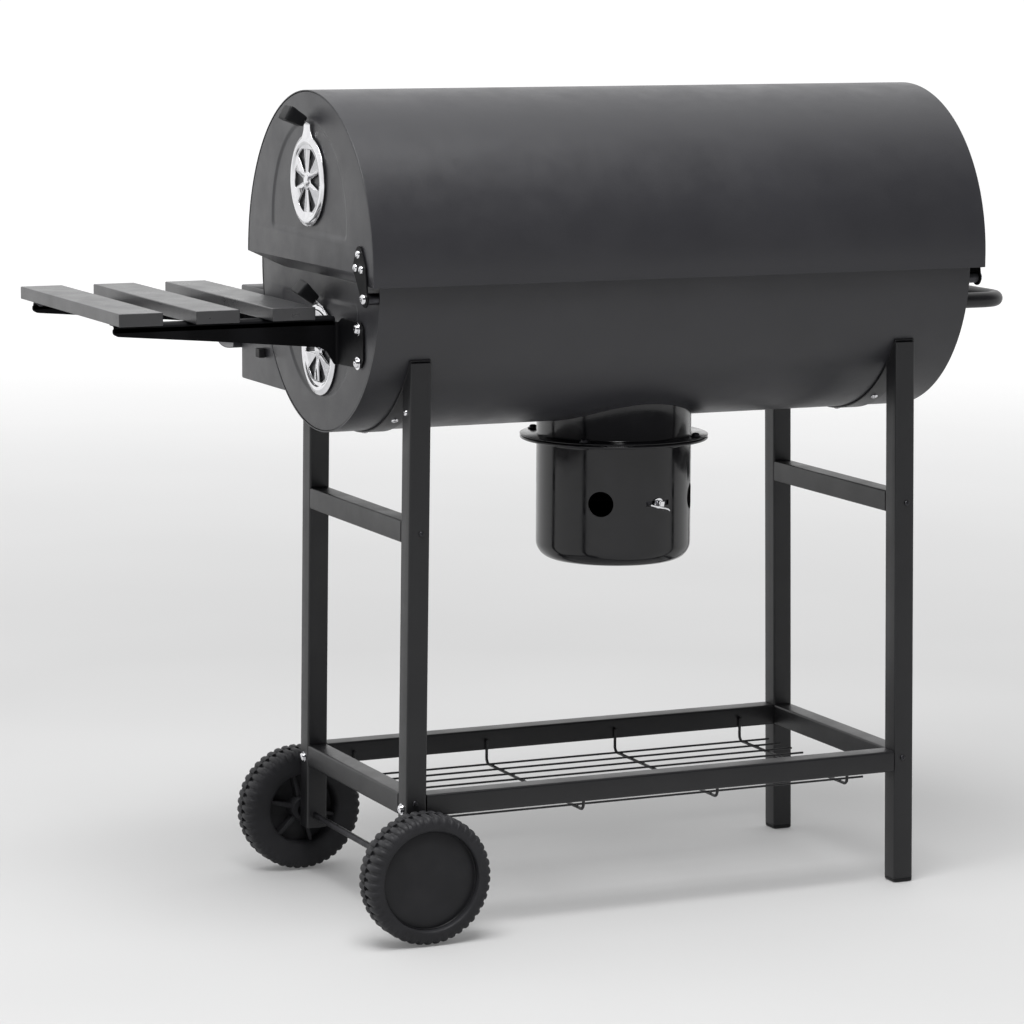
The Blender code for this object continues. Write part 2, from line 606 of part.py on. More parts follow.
legs = {}
for end, x, z0 in (("wheel", LEG_X_WHEEL, WHEEL_LEG_BOTTOM), ("stand", LEG_X_STAND, 0.0025)):
    for side, sy in (("front", -1), ("rear", 1)):
        legs[end, side] = square_tube("leg_%s_%s" % (end, side), x, sy * LEG_Y, z0, LEG_TOP_Z)
for side in ("front", "rear"):
    y = LEG_Y if side == "rear" else -LEG_Y
    hole_z = WHEEL_R + 0.0005
    hole_x = AXLE_X - LEG_LEAN["wheel"] * (hole_z - LEAN_Z)
    cut(legs["wheel", side], "axle_hole_" + side,
        cylinder_bm("y", (hole_x, hole_z), AXLE_R + 0.0004, y - 0.05, y + 0.05, 24))
    inner = HALF_TUBE - TUBE_WALL - GAP
    x = LEG_X_STAND
    plug = add("foot_plug_" + side,
               box_bm(x - HALF_TUBE, x + HALF_TUBE, y - HALF_TUBE, y + HALF_TUBE, 0.0, 0.0022), PLASTIC)
    bevel(plug, 0.0008, 2)
    cut(plug, "plug_" + side, box_bm(x - inner, x + inner, y - inner, y + inner, 0.0010, 0.016), "UNION")
    lean(plug, "stand")
for (end, side), leg in legs.items():
    lean(leg, end)


def cross_tube(name, axis, a0, a1, b, top):
    """Horizontal tube butted between two legs, open at its ends."""
    inner = HALF_TUBE - TUBE_WALL
    z0, z1 = top - TUBE, top
    if axis == "y":
        outer = box_bm(b - HALF_TUBE, b + HALF_TUBE, a0, a1, z0, z1)
        bore = box_bm(b - inner, b + inner, a0 - 0.01, a1 + 0.01, z0 + TUBE_WALL, z1 - TUBE_WALL)
    else:
        outer = box_bm(a0, a1, b - HALF_TUBE, b + HALF_TUBE, z0, z1)
        bore = box_bm(a0 - 0.01, a1 + 0.01, b - inner, b + inner, z0 + TUBE_WALL, z1 - TUBE_WALL)
    tube = add(name, outer, FRAME)
    bevel(tube, 0.0018, 2)
    cut(tube, name + "_bore", bore)
    return tube


reach_y = LEG_Y - HALF_TUBE - GAP
for end, x in (("wheel", LEG_X_WHEEL), ("stand", LEG_X_STAND)):
    lean(cross_tube("upper_crossbar_" + end, "y", -reach_y, reach_y, x, UPPER_BAR_TOP), end)
    lean(cross_tube("lower_crossbar_" + end, "y", -reach_y, reach_y, x, LOWER_FRAME_TOP), end)
rail_low = LEG_X_STAND + HALF_TUBE + GAP
rail_high = LEG_X_WHEEL - HALF_TUBE - GAP
for side, sy in (("front", -1), ("rear", 1)):
    cross_tube("rail_" + side, "x", rail_low, rail_high, sy * LEG_Y, LOWER_FRAME_TOP)


def cradle_strap(name, leg_x):
    """Curved strap under the drum, as wide as the tube, that spans a pair of legs."""
    low, high = leg_x - HALF_TUBE, leg_x + HALF_TUBE
    span = acos(STRAP_END_Y / STRAP_R) * 180 / pi
    outer = arc(0.0, BODY_Z, STRAP_R + STRAP_T, 180.0 + span, 360.0 - span, 34)
    inside = arc(0.0, BODY_Z, STRAP_R, 360.0 - span, 180.0 + span, 34)
    return add(name, prism_bm(outer + inside, "x", low, high), FRAME)


lean(cradle_strap("cradle_strap_wheel", LEG_X_WHEEL), "wheel")
lean(cradle_strap("cradle_strap_stand", LEG_X_STAND), "stand")

# ---------------------------------------------------------------- wire bottom shelf
def shelf_wires():
    drop_y = LEG_Y - HALF_TUBE - SHELF_WIRE_R - 0.0012
    bars = []
    for x in SHELF_CROSS_XS:
        pts = rounded_path([(x, -drop_y - 0.0020, 0.1500), (x, -drop_y, 0.1500), (x, -drop_y, SHELF_WIRE_Z),
                            (x, drop_y, SHELF_WIRE_Z), (x, drop_y, 0.1500), (x, drop_y + 0.0020, 0.1500)],
                           0.005, 3)
        bars.append(tube_bm(pts, SHELF_WIRE_R, 6))
    for y in SHELF_WIRE_YS:
        z = SHELF_WIRE_Z + SHELF_WIRE_R * 1.45
        bars.append(tube_bm([(-0.2790, y, z), (0.3030, y, z)], SHELF_WIRE_R, 6))
    return bars


join_bars("wire_shelf", shelf_wires(), FRAME)

# ---------------------------------------------------------------- axle and wheels
AXLE_Z = WHEEL_R + 0.0005
axle = tube_bm([(AXLE_X, -0.2080, AXLE_Z), (AXLE_X, 0.2080, AXLE_Z)], AXLE_R, 20)
bevel(add("axle_rod", axle, ZINC), 0.0008, 1, 60.0)


def wheel_bm(sign):
    """Blow-moulded wheel: two staggered rows of tread blocks, dished outside, webbed inside."""
    out = sign * WHEEL_Y
    half = WHEEL_W / 2
    deep = 0.0042
    ground = WHEEL_R
    profile = [
        (0.0043, -half + 0.006, 0), (0.0165, -half + 0.006, 0), (0.0185, -0.001, 0), (0.0460, -0.001, 0),
        (0.0500, -half + 0.004, 0), (0.0600, -half, 0), (0.0665, -half + 0.002, 0),
        (ground, -half + 0.0080, 1),
        (ground, -0.0012, 1), (ground, 0.0012, 2), (ground, half - 0.0080, 2), (0.0665, half - 0.0020, 0),
        (0.0590, half, 0), (0.0555, half - 0.0090, 0), (0.0043, half - 0.0100, 0),
    ]
    bm = bmesh.new()
    rings = []
    for i in range(2 * KNOBS):
        a = pi * i / KNOBS
        first_high = i % 2 == 0
        ring = []
        for r, h, row in profile:
            radius = r
            if row == 1 and not first_high:
                radius = r - deep
            if row == 2 and first_high:
                radius = r - deep
            y = out + sign * h
            ring.append(bm.verts.new((AXLE_X + radius * cos(a), y, AXLE_Z + radius * sin(a))))
        rings.append(ring)
    for i in range(len(rings)):
        here = rings[i]
        there = rings[(i + 1) % len(rings)]
        for j in range(len(profile)):
            k = (j + 1) % len(profile)
            bm.faces.new((here[j], there[j], there[k], here[k]))
    return bm


def spokes_bm(sign):
    bm = bmesh.new()
    half = WHEEL_W / 2
    for k in range(6):
        a = radians(60.0 * k + 15.0)
        outline = [(0.0165, -0.0026), (0.0480, -0.0020), (0.0480, 0.0020), (0.0165, 0.0026)]
        pts = [(AXLE_X + u * cos(a) - v * sin(a), AXLE_Z + u * sin(a) + v * cos(a)) for u, v in outline]
        y0, y1 = sorted((sign * (WHEEL_Y - 0.0020), sign * (WHEEL_Y - half + 0.0110)))
        prism_bm(pts, "y", y0, y1, bm)
    return bm


for side, sign in (("front", -1), ("rear", 1)):
    hub = (AXLE_X, sign * WHEEL_Y, AXLE_Z)
    wheel = add("wheel_" + side, wheel_bm(sign), PLASTIC, hub)
    cut(wheel, "wheel_spokes_" + side, spokes_bm(sign), "UNION")
    face = WHEEL_Y + WHEEL_W / 2 - 0.0100
    disc = [(0.0, face + 0.0012), (0.0500, face + 0.0012), (0.0528, face + 0.0012), (0.0528, face + 0.0026),
            (0.0512, face + 0.0040), (0.0470, face + 0.0044), (0.0, face + 0.0048)]
    bm = turned_bm([(r, sign * h) for r, h in disc], "y", (AXLE_X, AXLE_Z), 36)
    add("wheel_cap_" + side, bm, PLASTIC, hub)

# ---------------------------------------------------------------- ash collar and pot
collar_profile = [(POT_R - POT_WALL, POT_BRIM_Z + 0.0021), (FLANGE_R, POT_BRIM_Z + 0.0021),
                  (FLANGE_R, POT_BRIM_Z + 0.0041), (POT_R, POT_BRIM_Z + 0.0041), (POT_R, 0.60),
                  (POT_R - POT_WALL, 0.60)]
collar = add("ash_collar", lathe_bm(collar_profile, "z", (0.0, 0.0), 40), ENAMEL)
cut(collar, "collar_cope", cylinder_bm("x", (0.0, BODY_Z), BODY_R + GAP, -0.3, 0.3, 2 * DRUM_STEPS))

POT_ORIGIN = (0.0, 0.0, POT_BRIM_Z)
corner = arc(POT_R - 0.020, POT_BOTTOM + 0.020, 0.020, -90.0, 0.0, 4)
corner_in = arc(POT_R - 0.020, POT_BOTTOM + 0.020, 0.020 - POT_WALL, 0.0, -90.0, 4)
pot_profile = ([(0.0, POT_BOTTOM + 0.0030), (0.0560, POT_BOTTOM + 0.0030), (0.0600, POT_BOTTOM)] + corner
               + [(POT_R, POT_BRIM_Z - 0.0025), (POT_R + 0.0015, POT_BRIM_Z - 0.0006),
                  (FLANGE_R - 0.0012, POT_BRIM_Z - 0.0006),
                  (FLANGE_R, POT_BRIM_Z + 0.0006), (FLANGE_R - 0.0012, POT_BRIM_Z + 0.0017),
                  (POT_R - POT_WALL, POT_BRIM_Z + 0.0017)]
               + corner_in + [(0.0590, POT_BOTTOM + POT_WALL), (0.0550, POT_BOTTOM + 0.0030 + POT_WALL),
                              (0.0, POT_BOTTOM + 0.0030 + POT_WALL)])
pot = add("ash_pot", turned_bm(pot_profile, "z", (0.0, 0.0), 40), ENAMEL, POT_ORIGIN)


def radial_hole(angle, z, radius, low, high, steps=24):
    a = radians(angle)
    return along((cos(a), sin(a), 0.0), (0.0, 0.0, z), cylinder_bm("z", (0.0, 0.0), radius, low, high, steps))


HOLE_ANGLES = (55.0, 145.0, 235.0, 325.0)
for k, angle in enumerate(HOLE_ANGLES):
    cut(pot, "pot_air_%d" % k, radial_hole(angle, AIR_HOLE_Z, AIR_HOLE_R, 0.070, 0.12, 12))
slot = bmesh.new()
slot_out = arc(0.0, 0.0, 0.100, CLIP_ANGLE - 10.0, CLIP_ANGLE + 10.0, 5)
slot_in = arc(0.0, 0.0, 0.080, CLIP_ANGLE + 10.0, CLIP_ANGLE - 10.0, 5)
prism_bm(slot_out + slot_in, "z", AIR_HOLE_Z - 0.0030, AIR_HOLE_Z + 0.0030, slot)
cut(pot, "pot_slot", slot)

BAND_R = POT_R - POT_WALL - 0.0004
band_profile = [(BAND_R - 0.0012, AIR_HOLE_Z - 0.022), (BAND_R, AIR_HOLE_Z - 0.022),
                (BAND_R, AIR_HOLE_Z + 0.022),
                (BAND_R - 0.0012, AIR_HOLE_Z + 0.022)]
band = add("ash_damper_band", lathe_bm(band_profile, "z", (0.0, 0.0), 40), ZINC, POT_ORIGIN)
for k, angle in enumerate(HOLE_ANGLES):
    cut(band, "band_air_%d" % k, radial_hole(angle, AIR_HOLE_Z, AIR_HOLE_R + 0.001, 0.070, 0.12, 12))
cut(band, "band_stud_hole", radial_hole(CLIP_ANGLE, AIR_HOLE_Z, 0.0026, 0.070, 0.12, 12))

clip_dir = Vector((cos(radians(CLIP_ANGLE)), sin(radians(CLIP_ANGLE)), 0.0))
clip_profile = [(0.0, BAND_R - 0.0036), (0.0045, BAND_R - 0.0036), (0.0045, BAND_R - 0.0021),
                (0.0022, BAND_R - 0.0021),
                (0.0022, POT_R + 0.0005), (0.0058, POT_R + 0.0005), (0.0058, POT_R + 0.0035),
                (0.0040, POT_R + 0.0045), (0.0040, POT_R + 0.0085), (0.0, POT_R + 0.0090)]
clip_bm = turned_bm(clip_profile, "z", (0.0, 0.0), 20)
clip = add("damper_clip", along(clip_dir, (0.0, 0.0, AIR_HOLE_Z), clip_bm), CHROME, POT_ORIGIN)
wing = bmesh.new()
wing_pts = [(-0.0145, 0.0015), (-0.0135, -0.0015), (-0.0040, -0.0025), (0.0040, -0.0015), (0.0145, 0.0020),
            (0.0150, 0.0060), (0.0120, 0.0070), (0.0, 0.0045), (-0.0120, 0.0040)]
prism_bm([(a, b) for a, b in wing_pts], "z", POT_R + 0.0042, POT_R + 0.0062, wing)
bmesh.ops.transform(wing, verts=wing.verts, matrix=Matrix.Rotation(pi, 4, "Z"))
turn = Matrix(((-clip_dir.y, 0.0, clip_dir.x, 0.0), (clip_dir.x, 0.0, clip_dir.y, 0.0),
               (0.0, 1.0, 0.0, AIR_HOLE_Z), (0.0, 0.0, 0.0, 1.0)))
bmesh.ops.transform(wing, verts=wing.verts, matrix=turn)
cut(clip, "clip_wing", wing, "UNION")

# ---------------------------------------------------------------- charcoal box and door
box = add("charcoal_box", box_bm(-BODY_HALF, BODY_HALF, BOX_FRONT_Y, -0.060, BOX_BOTTOM, BOX_TOP), COAT)
bevel(box, 0.0015, 2)
cut(box, "box_inside", box_bm(-BODY_HALF + SHEET, BODY_HALF - SHEET, BOX_FRONT_Y + SHEET, 0.0,
                              BOX_BOTTOM + SHEET, BOX_TOP - SHEET))
cut(box, "box_cope", cylinder_bm("x", (0.0, BODY_Z), BODY_R + GAP, -0.5, 0.5, 2 * DRUM_STEPS))
cut(box, "box_opening", box_bm(-0.350, 0.350, BOX_FRONT_Y - 0.02, BOX_FRONT_Y + 0.02, 0.6400, 0.6930))

DOOR_Y = BOX_FRONT_Y - 0.0050
DOOR_ORIGIN = (0.0, DOOR_Y, DOOR_HINGE_Z)
door_section = [(DOOR_Y - 0.0008, 0.6990), (DOOR_Y - 0.0008, 0.6336), (DOOR_Y - 0.0030, 0.6318),
                (DOOR_Y - 0.0300, 0.6296), (DOOR_Y - 0.0528, 0.6334), (DOOR_Y - 0.0532, 0.6318),
                (DOOR_Y - 0.0300, 0.6278), (DOOR_Y - 0.0020, 0.6302), (DOOR_Y + 0.0008, 0.6330),
                (DOOR_Y + 0.0008, 0.6990)]
door = add("charcoal_door", prism_bm(door_section, "x", -DOOR_HALF, DOOR_HALF), COAT, DOOR_ORIGIN)
knuckles = bmesh.new()
for k in range(4):
    x = -0.27 + 0.18 * k
    cylinder_bm("x", (DOOR_Y, DOOR_HINGE_Z), 0.0042, x - 0.018, x + 0.018, 20, knuckles)
cut(door, "door_knuckles", knuckles, "UNION")
cut(door, "door_pin_hole", cylinder_bm("x", (DOOR_Y, DOOR_HINGE_Z), 0.0024, -0.5, 0.5, 20))
rod = tube_bm([(-0.335, DOOR_Y, DOOR_HINGE_Z), (0.335, DOOR_Y, DOOR_HINGE_Z)], 0.0020, 16)
add("door_hinge_rod", rod, ZINC)

# lugs on the box hold the rod between the door knuckles
lugs = bmesh.new()
for x in (-0.325, -0.180, 0.0, 0.180, 0.325):
    tab = [(BOX_FRONT_Y + 0.0008, DOOR_HINGE_Z - 0.0034), (BOX_FRONT_Y + 0.0008, DOOR_HINGE_Z + 0.0034)]
    tab += arc(DOOR_Y, DOOR_HINGE_Z, 0.0034, 90.0, 270.0, 8)
    prism_bm(tab, "x", x - 0.004, x + 0.004, lugs)
cut(box, "box_lugs", lugs, "UNION")
cut(box, "box_pin_holes", cylinder_bm("x", (DOOR_Y, DOOR_HINGE_Z), 0.0023, -0.5, 0.5, 20))

# openings where the front legs and the cradle straps come up through the box
passes = bmesh.new()
for end, foot_x in (("wheel", LEG_X_WHEEL), ("stand", LEG_X_STAND)):
    x = foot_x + LEG_LEAN[end] * (BOX_BOTTOM - LEAN_Z)
    box_bm(x - HALF_TUBE - 0.001, x + HALF_TUBE + 0.001, -LEG_Y - HALF_TUBE - 0.001, -0.080,
           BOX_BOTTOM - 0.01, BOX_BOTTOM + 0.010, passes)
cut(box, "box_leg_passes", passes)

pad = add("bracket_block", box_bm(BODY_HALF + GAP, BODY_HALF + 0.0085, -0.1850, -0.1720, 0.6275, 0.6385),
          PLASTIC)
bevel(pad, 0.0010, 2)

# ---------------------------------------------------------------- grates inside the drum
def slotted_grate(name, x0, x1, half_y, z0, thick, slots, bar):
    """Cast grate: a plate with long slots between its bars."""
    grate = add(name, box_bm(x0, x1, -half_y, half_y, z0, z0 + thick), IRON, ((x0 + x1) / 2, 0.0, z0))
    gaps = bmesh.new()
    pitch = (x1 - x0 - bar) / slots
    for k in range(slots):
        left = x0 + bar + pitch * k
        for y0, y1 in ((-half_y + 0.009, -0.005), (0.005, half_y - 0.009)):
            box_bm(left, left + pitch - bar, y0, y1, z0 - 0.01, z0 + thick + 0.01, gaps)
    cut(grate, name + "_slots", gaps)
    return grate


slotted_grate("cooking_grate_wheel_side", 0.0020, 0.3580, 0.1730, GRATE_Z, 0.0070, 14, 0.0080)
slotted_grate("cooking_grate_handle_side", -0.3580, -0.0020, 0.1730, GRATE_Z, 0.0070, 14, 0.0080)
slotted_grate("charcoal_grate", -0.3400, 0.3400, 0.1330, COAL_GRATE_Z, 0.0060, 18, 0.0110)
for side, sy in (("front", -1), ("rear", 1)):
    y0, y1 = sorted((sy * 0.1640, sy * 0.1785))
    top = GRATE_Z - GAP
    ledge = [(y0, top), (y1, top), (y1, top - 0.0016), (y0, top - 0.0016)]
    add("grate_ledge_" + side, prism_bm(ledge, "x", -0.3600, 0.3600), ZINC)
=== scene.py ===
"""Barrel charcoal grill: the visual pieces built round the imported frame.

Lengths are metres, and mm() turns tables of millimetres into metres.  Shapes are written in
drum coordinates: X along the drum towards the wheels, Y towards the hinges, Z up from the floor,
with X and Y zero on the drum's axis.
"""
from math import acos, atan2, cos, degrees, pi, radians, sin, sqrt, tan

import bmesh
import bpy
from mathutils import Matrix, Vector
from mathutils.geometry import tessellate_polygon


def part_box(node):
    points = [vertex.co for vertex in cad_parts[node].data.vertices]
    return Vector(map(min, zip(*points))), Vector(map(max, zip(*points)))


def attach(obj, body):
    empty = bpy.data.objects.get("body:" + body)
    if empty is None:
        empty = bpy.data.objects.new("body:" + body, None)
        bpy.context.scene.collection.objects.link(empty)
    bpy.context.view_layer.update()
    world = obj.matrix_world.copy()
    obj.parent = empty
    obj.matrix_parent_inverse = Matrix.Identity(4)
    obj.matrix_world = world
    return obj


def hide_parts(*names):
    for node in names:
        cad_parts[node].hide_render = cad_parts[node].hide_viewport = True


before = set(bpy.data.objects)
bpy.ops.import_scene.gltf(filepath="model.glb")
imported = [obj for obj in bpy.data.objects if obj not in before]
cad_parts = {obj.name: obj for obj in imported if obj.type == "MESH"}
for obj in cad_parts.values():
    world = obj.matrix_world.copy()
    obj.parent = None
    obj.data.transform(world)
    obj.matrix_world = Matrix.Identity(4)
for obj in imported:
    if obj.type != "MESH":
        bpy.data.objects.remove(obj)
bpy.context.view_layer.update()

# ---------------------------------------------------------------- sizes read from the frame
RIM_LIP = 0.006                      # rear lip of the lower drum
drum_low, drum_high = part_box("barrel_shell")
BODY_R = (drum_high.y - drum_low.y - RIM_LIP) / 2
BODY_Z = drum_low.z + BODY_R
UPSTAND_Z = drum_high.z              # top of the drum's front wall, inside the lid
HOME = Vector(((drum_low.x + drum_high.x) / 2, drum_low.y + BODY_R, 0.0))


def local_box(node):
    """A CAD node's box in drum coordinates."""
    low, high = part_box(node)
    return low - HOME, high - HOME


def middle(node):
    low, high = local_box(node)
    return (low + high) / 2


SHEET = 0.0014                       # drum and lid sheet
BODY_HALF = local_box("end_cap_wheel_side")[1].x
lid_low, lid_high = local_box("lid_shell")
LID_HALF = lid_high.x
LID_R = lid_high.y
LID_Z = lid_high.z - LID_R
LID_REAR_Z = lid_low.z
LID_FRONT_Z = LID_REAR_Z + 0.0127
LID_END = (-0.076, LID_REAR_Z + 0.0032)     # level lower edge of the end plates, and where it starts to climb
DRUM_STEPS = 144

PANEL_R = 0.118
PANEL_DEPTH = 0.0015
PANEL_SLOPE = 0.0065

LID_VENT = middle("lid_vent_rivet")
CAP_VENT = middle("cap_vent_rivet")
VENT_TILT = {"lid_vent": 0.0, "cap_vent": -7.0}
VENT_TAB = {"lid_vent": (0.0645, 62.0, 0.006), "cap_vent": (0.0528, 50.0, 0.011)}    # bend radius, bend, length
LID_PANEL = (0.8, 0.786)           # centre height and straight edge height
CAP_PANEL = (0.716, 0.717)

hinge_joint = middle("hinge_pin_wheel_side")
HINGE_Y, HINGE_Z = hinge_joint.y, hinge_joint.z
TUBE_CORNER = 0.003
TUBE_WALL = 0.0014


# ---------------------------------------------------------------- mesh helpers
AXES = {
    "x": lambda a, b, c: Vector((c, a, b)),
    "y": lambda a, b, c: Vector((a, c, b)),
    "z": lambda a, b, c: Vector((a, b, c)),
}


def mm(*points):
    """Points given in millimetres, as metres."""
    return [tuple(value / 1000 for value in point) for point in points]


def arc(cx, cy, radius, start, end, steps):
    """Points on an arc, angles in degrees."""
    out = []
    for i in range(steps + 1):
        a = radians(start + (end - start) * i / steps)
        out.append((cx + radius * cos(a), cy + radius * sin(a)))
    return out


def circle(cx, cy, radius, steps):
    return arc(cx, cy, radius, 0.0, 360.0, steps)[:-1]


def rounded(points, radius, steps=5):
    """Round the corners of a closed 2-D outline."""
    out = []
    count = len(points)
    for i in range(count):
        corner = Vector(points[i])
        before = Vector(points[i - 1]) - corner
        after = Vector(points[(i + 1) % count]) - corner
        half = before.angle(after) / 2
        if half > radians(88):
            out.append(tuple(corner))
            continue
        reach = min(radius / tan(half), before.length * 0.45, after.length * 0.45)
        a = corner + before.normalized() * reach
        b = corner + after.normalized() * reach
        for k in range(steps + 1):
            t = k / steps
            out.append(tuple(a.lerp(corner, t).lerp(corner.lerp(b, t), t)))
    return out


def rounded_path(points, radius, steps=8):
    """Replace the inner corners of a 3-D polyline with arcs."""
    points = [Vector(p) for p in points]
    out = [points[0]]
    for before, corner, after in zip(points, points[1:], points[2:]):
        a = (before - corner).normalized()
        b = (after - corner).normalized()
        half = a.angle(b) / 2
        limit = 0.49 * min((before - corner).length, (after - corner).length)
        reach = min(radius / tan(half), limit)
        r = reach * tan(half)
        centre = corner + (a + b).normalized() * (r / sin(half))
        start = (corner + a * reach - centre).normalized()
        end = (corner + b * reach - centre).normalized()
        out += [centre + start.slerp(end, k / steps) * r for k in range(steps + 1)]
    out.append(points[-1])
    return out


def box(x0, x1, y0, y1, z0, z1, bm=None):
    bm = bm or bmesh.new()
    made = bmesh.ops.create_cube(bm, size=1.0)["verts"]
    bmesh.ops.scale(bm, verts=made, vec=(x1 - x0, y1 - y0, z1 - z0))
    bmesh.ops.translate(bm, verts=made, vec=((x0 + x1) / 2, (y0 + y1) / 2, (z0 + z1) / 2))
    return bm


def loop(bm, axis, outline, at):
    """Vertices of a 2-D outline at a height along an axis."""
    return [bm.verts.new(AXES[axis](a, b, at)) for a, b in outline]


def ring_strip(bm, rings, closed=True, ends=False):
    """Quads between neighbouring rings of vertices, with a face over each end if asked for."""
    for here, there in zip(rings, rings[1:]):
        count = len(here)
        for k in range(count if closed else count - 1):
            m = (k + 1) % count
            bm.faces.new((here[k], here[m], there[m], there[k]))
    if ends:
        bm.faces.new(rings[0][::-1])
        bm.faces.new(rings[-1])


def stack(axis, stations, bm=None, joined=False):
    """Skin over outlines at heights along an axis, with faces over its ends or joined end to end."""
    bm = bm or bmesh.new()
    rings = [loop(bm, axis, outline, at) for at, outline in stations]
    ring_strip(bm, rings + rings[:1] if joined else rings, ends=not joined)
    return bm


def prism(outline, axis, low, high, bm=None):
    """Extrude a closed 2-D outline along an axis."""
    bm = bm or bmesh.new()
    bottom, top = loop(bm, axis, outline, low), loop(bm, axis, outline, high)
    bm.faces.new(bottom)
    bm.faces.new(top)
    ring_strip(bm, [bottom, top])
    return bm


def rod(axis, a, b, radius, low, high, steps=32, bm=None):
    return prism(circle(a, b, radius, steps), axis, low, high, bm)


def lathe(profile, axis="z", centre=(0.0, 0.0), steps=96, bm=None):
    """Revolve a (radius, height) profile; ends at radius zero are closed on the axis,
    and a profile with no such end is closed on itself."""
    bm = bm or bmesh.new()
    pointed = profile[0][0] == 0.0
    turns = [2 * pi * i / steps for i in range(steps)]
    rings = [loop(bm, axis, [(centre[0] + r * cos(a), centre[1] + r * sin(a)) for a in turns], h)
             for r, h in (profile[1:-1] if pointed else profile)]
    if not pointed:
        ring_strip(bm, rings + rings[:1])
        return bm
    ring_strip(bm, rings)
    for ring, (_, h) in ((rings[0], profile[0]), (rings[-1], profile[-1])):
        point, = loop(bm, axis, [centre], h)
        for k in range(steps):
            bm.faces.new((point, ring[k], ring[(k + 1) % steps]))
    return bm


def sweep(path, radius, sides=16, bm=None):
    """Round wire or tube along a path, with slightly domed ends."""
    bm = bm or bmesh.new()
    path = [Vector(p) for p in path]
    tangents = [(path[min(i + 1, len(path) - 1)] - path[max(i - 1, 0)]).normalized()
                for i in range(len(path))]
    dome = radius * 0.15
    stations = [(path[0] - tangents[0] * dome, tangents[0], 0.75)]
    stations += [(p, t, 1.0) for p, t in zip(path, tangents)]
    stations.append((path[-1] + tangents[-1] * dome, tangents[-1], 0.75))
    normal = tangents[0].orthogonal().normalized()
    rings = []
    for point, tangent, size in stations:
        normal = (normal - tangent * normal.dot(tangent)).normalized()
        side = tangent.cross(normal)
        rings.append([bm.verts.new(point + (normal * cos(2 * pi * k / sides)
                                            + side * sin(2 * pi * k / sides)) * radius * size)
                      for k in range(sides)])
    ring_strip(bm, rings, ends=True)
    return bm


def fill(bm, loops):
    """Flat region inside the first loop of vertices and outside the others."""
    flat = [v for loop in loops for v in loop]
    for tri in tessellate_polygon([[v.co for v in loop] for loop in loops]):
        bm.faces.new([flat[i] for i in tri])


def aim(direction, origin, bm, spin=0.0):
    """Turn a bmesh built along +Z onto a direction and place it."""
    turn = Vector((0.0, 0.0, 1.0)).rotation_difference(Vector(direction)).to_matrix().to_4x4()
    matrix = Matrix.Translation(Vector(origin)) @ turn @ Matrix.Rotation(radians(spin), 4, "Z")
    bmesh.ops.transform(bm, verts=bm.verts, matrix=matrix)
    return bm


def axes_at(origin, x, y, z):
    """Matrix of a frame with these axes at a point."""
    return Matrix.Translation(origin) @ Matrix((x, y, z)).transposed().to_4x4()


def merge(*meshes):
    """Several bmeshes as one."""
    out = meshes[0]
    for other in meshes[1:]:
        temp = bpy.data.meshes.new("temp")
        other.to_mesh(temp)
        other.free()
        out.from_mesh(temp)
        bpy.data.meshes.remove(temp)
    return out


def place(obj):
    bpy.context.scene.collection.objects.link(obj)
    return obj


def reshade(obj, sharp=38.0):
    obj.data.shade_smooth()
    obj.data.set_sharp_from_angle(angle=radians(sharp))
    return obj


def piece(name, bm, look, body="cart", replaces="", sharp=38.0, facing=None):
    """Make a smooth-shaded object of a bmesh and let it ride on a body.

    It stands for the CAD node named by replaces, which it hides.
    facing is given for an open sheet: the side that its normals must point to."""
    bmesh.ops.remove_doubles(bm, verts=bm.verts, dist=1e-6)
    bmesh.ops.recalc_face_normals(bm, faces=bm.faces)
    if facing is not None:
        total = sum((f.normal * f.calc_area() for f in bm.faces), Vector())
        if total.dot(Vector(facing)) < 0:
            bmesh.ops.reverse_faces(bm, faces=bm.faces)
    mesh = bpy.data.meshes.new(name)
    bm.to_mesh(mesh)
    bm.free()
    mesh.materials.append(look)
    obj = reshade(place(bpy.data.objects.new(name, mesh)), sharp)
    obj.location = HOME
    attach(obj, body)
    if replaces:
        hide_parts(replaces)
    return obj


def soften(obj, width, segments=3, angle=38.0):
    """Rounded edges with clean shading."""
    mod = obj.modifiers.new("soft_edges", "BEVEL")
    mod.width = width
    mod.segments = segments
    mod.limit_method = "ANGLE"
    mod.angle_limit = radians(angle)
    mod.use_clamp_overlap = True
    weighted = obj.modifiers.new("weighted", "WEIGHTED_NORMAL")
    weighted.keep_sharp = True
    weighted.weight = 60
    return obj


def thicken(obj, thickness):
    mod = obj.modifiers.new("sheet", "SOLIDIFY")
    mod.thickness = thickness
    mod.offset = -1.0
    return obj


def block(name, node, look, edge, segments):
    """A plain bar in the place of a CAD node, with rounded edges."""
    low, high = local_box(node)
    return soften(piece(name, box(low.x, high.x, low.y, high.y, low.z, high.z), look, replaces=node), edge, segments)


def carve(obj, name, bm):
    """Cut a shape out; the cut is applied and its tool removed at once."""
    bmesh.ops.recalc_face_normals(bm, faces=bm.faces)
    mesh = bpy.data.meshes.new("tool_" + name)
    bm.to_mesh(mesh)
    bm.free()
    tool = place(bpy.data.objects.new("tool_" + name, mesh))
    tool.location = HOME
    mod = obj.modifiers.new(name, "BOOLEAN")
    mod.operation = "DIFFERENCE"
    mod.solver = "EXACT"
    mod.object = tool
    bpy.context.view_layer.update()
    graph = bpy.context.evaluated_depsgraph_get()
    made = bpy.data.meshes.new_from_object(obj.evaluated_get(graph))
    obj.modifiers.clear()
    old = obj.data
    obj.data = made
    bpy.data.meshes.remove(old)
    bpy.data.objects.remove(tool)
    bpy.data.meshes.remove(mesh)
    return obj


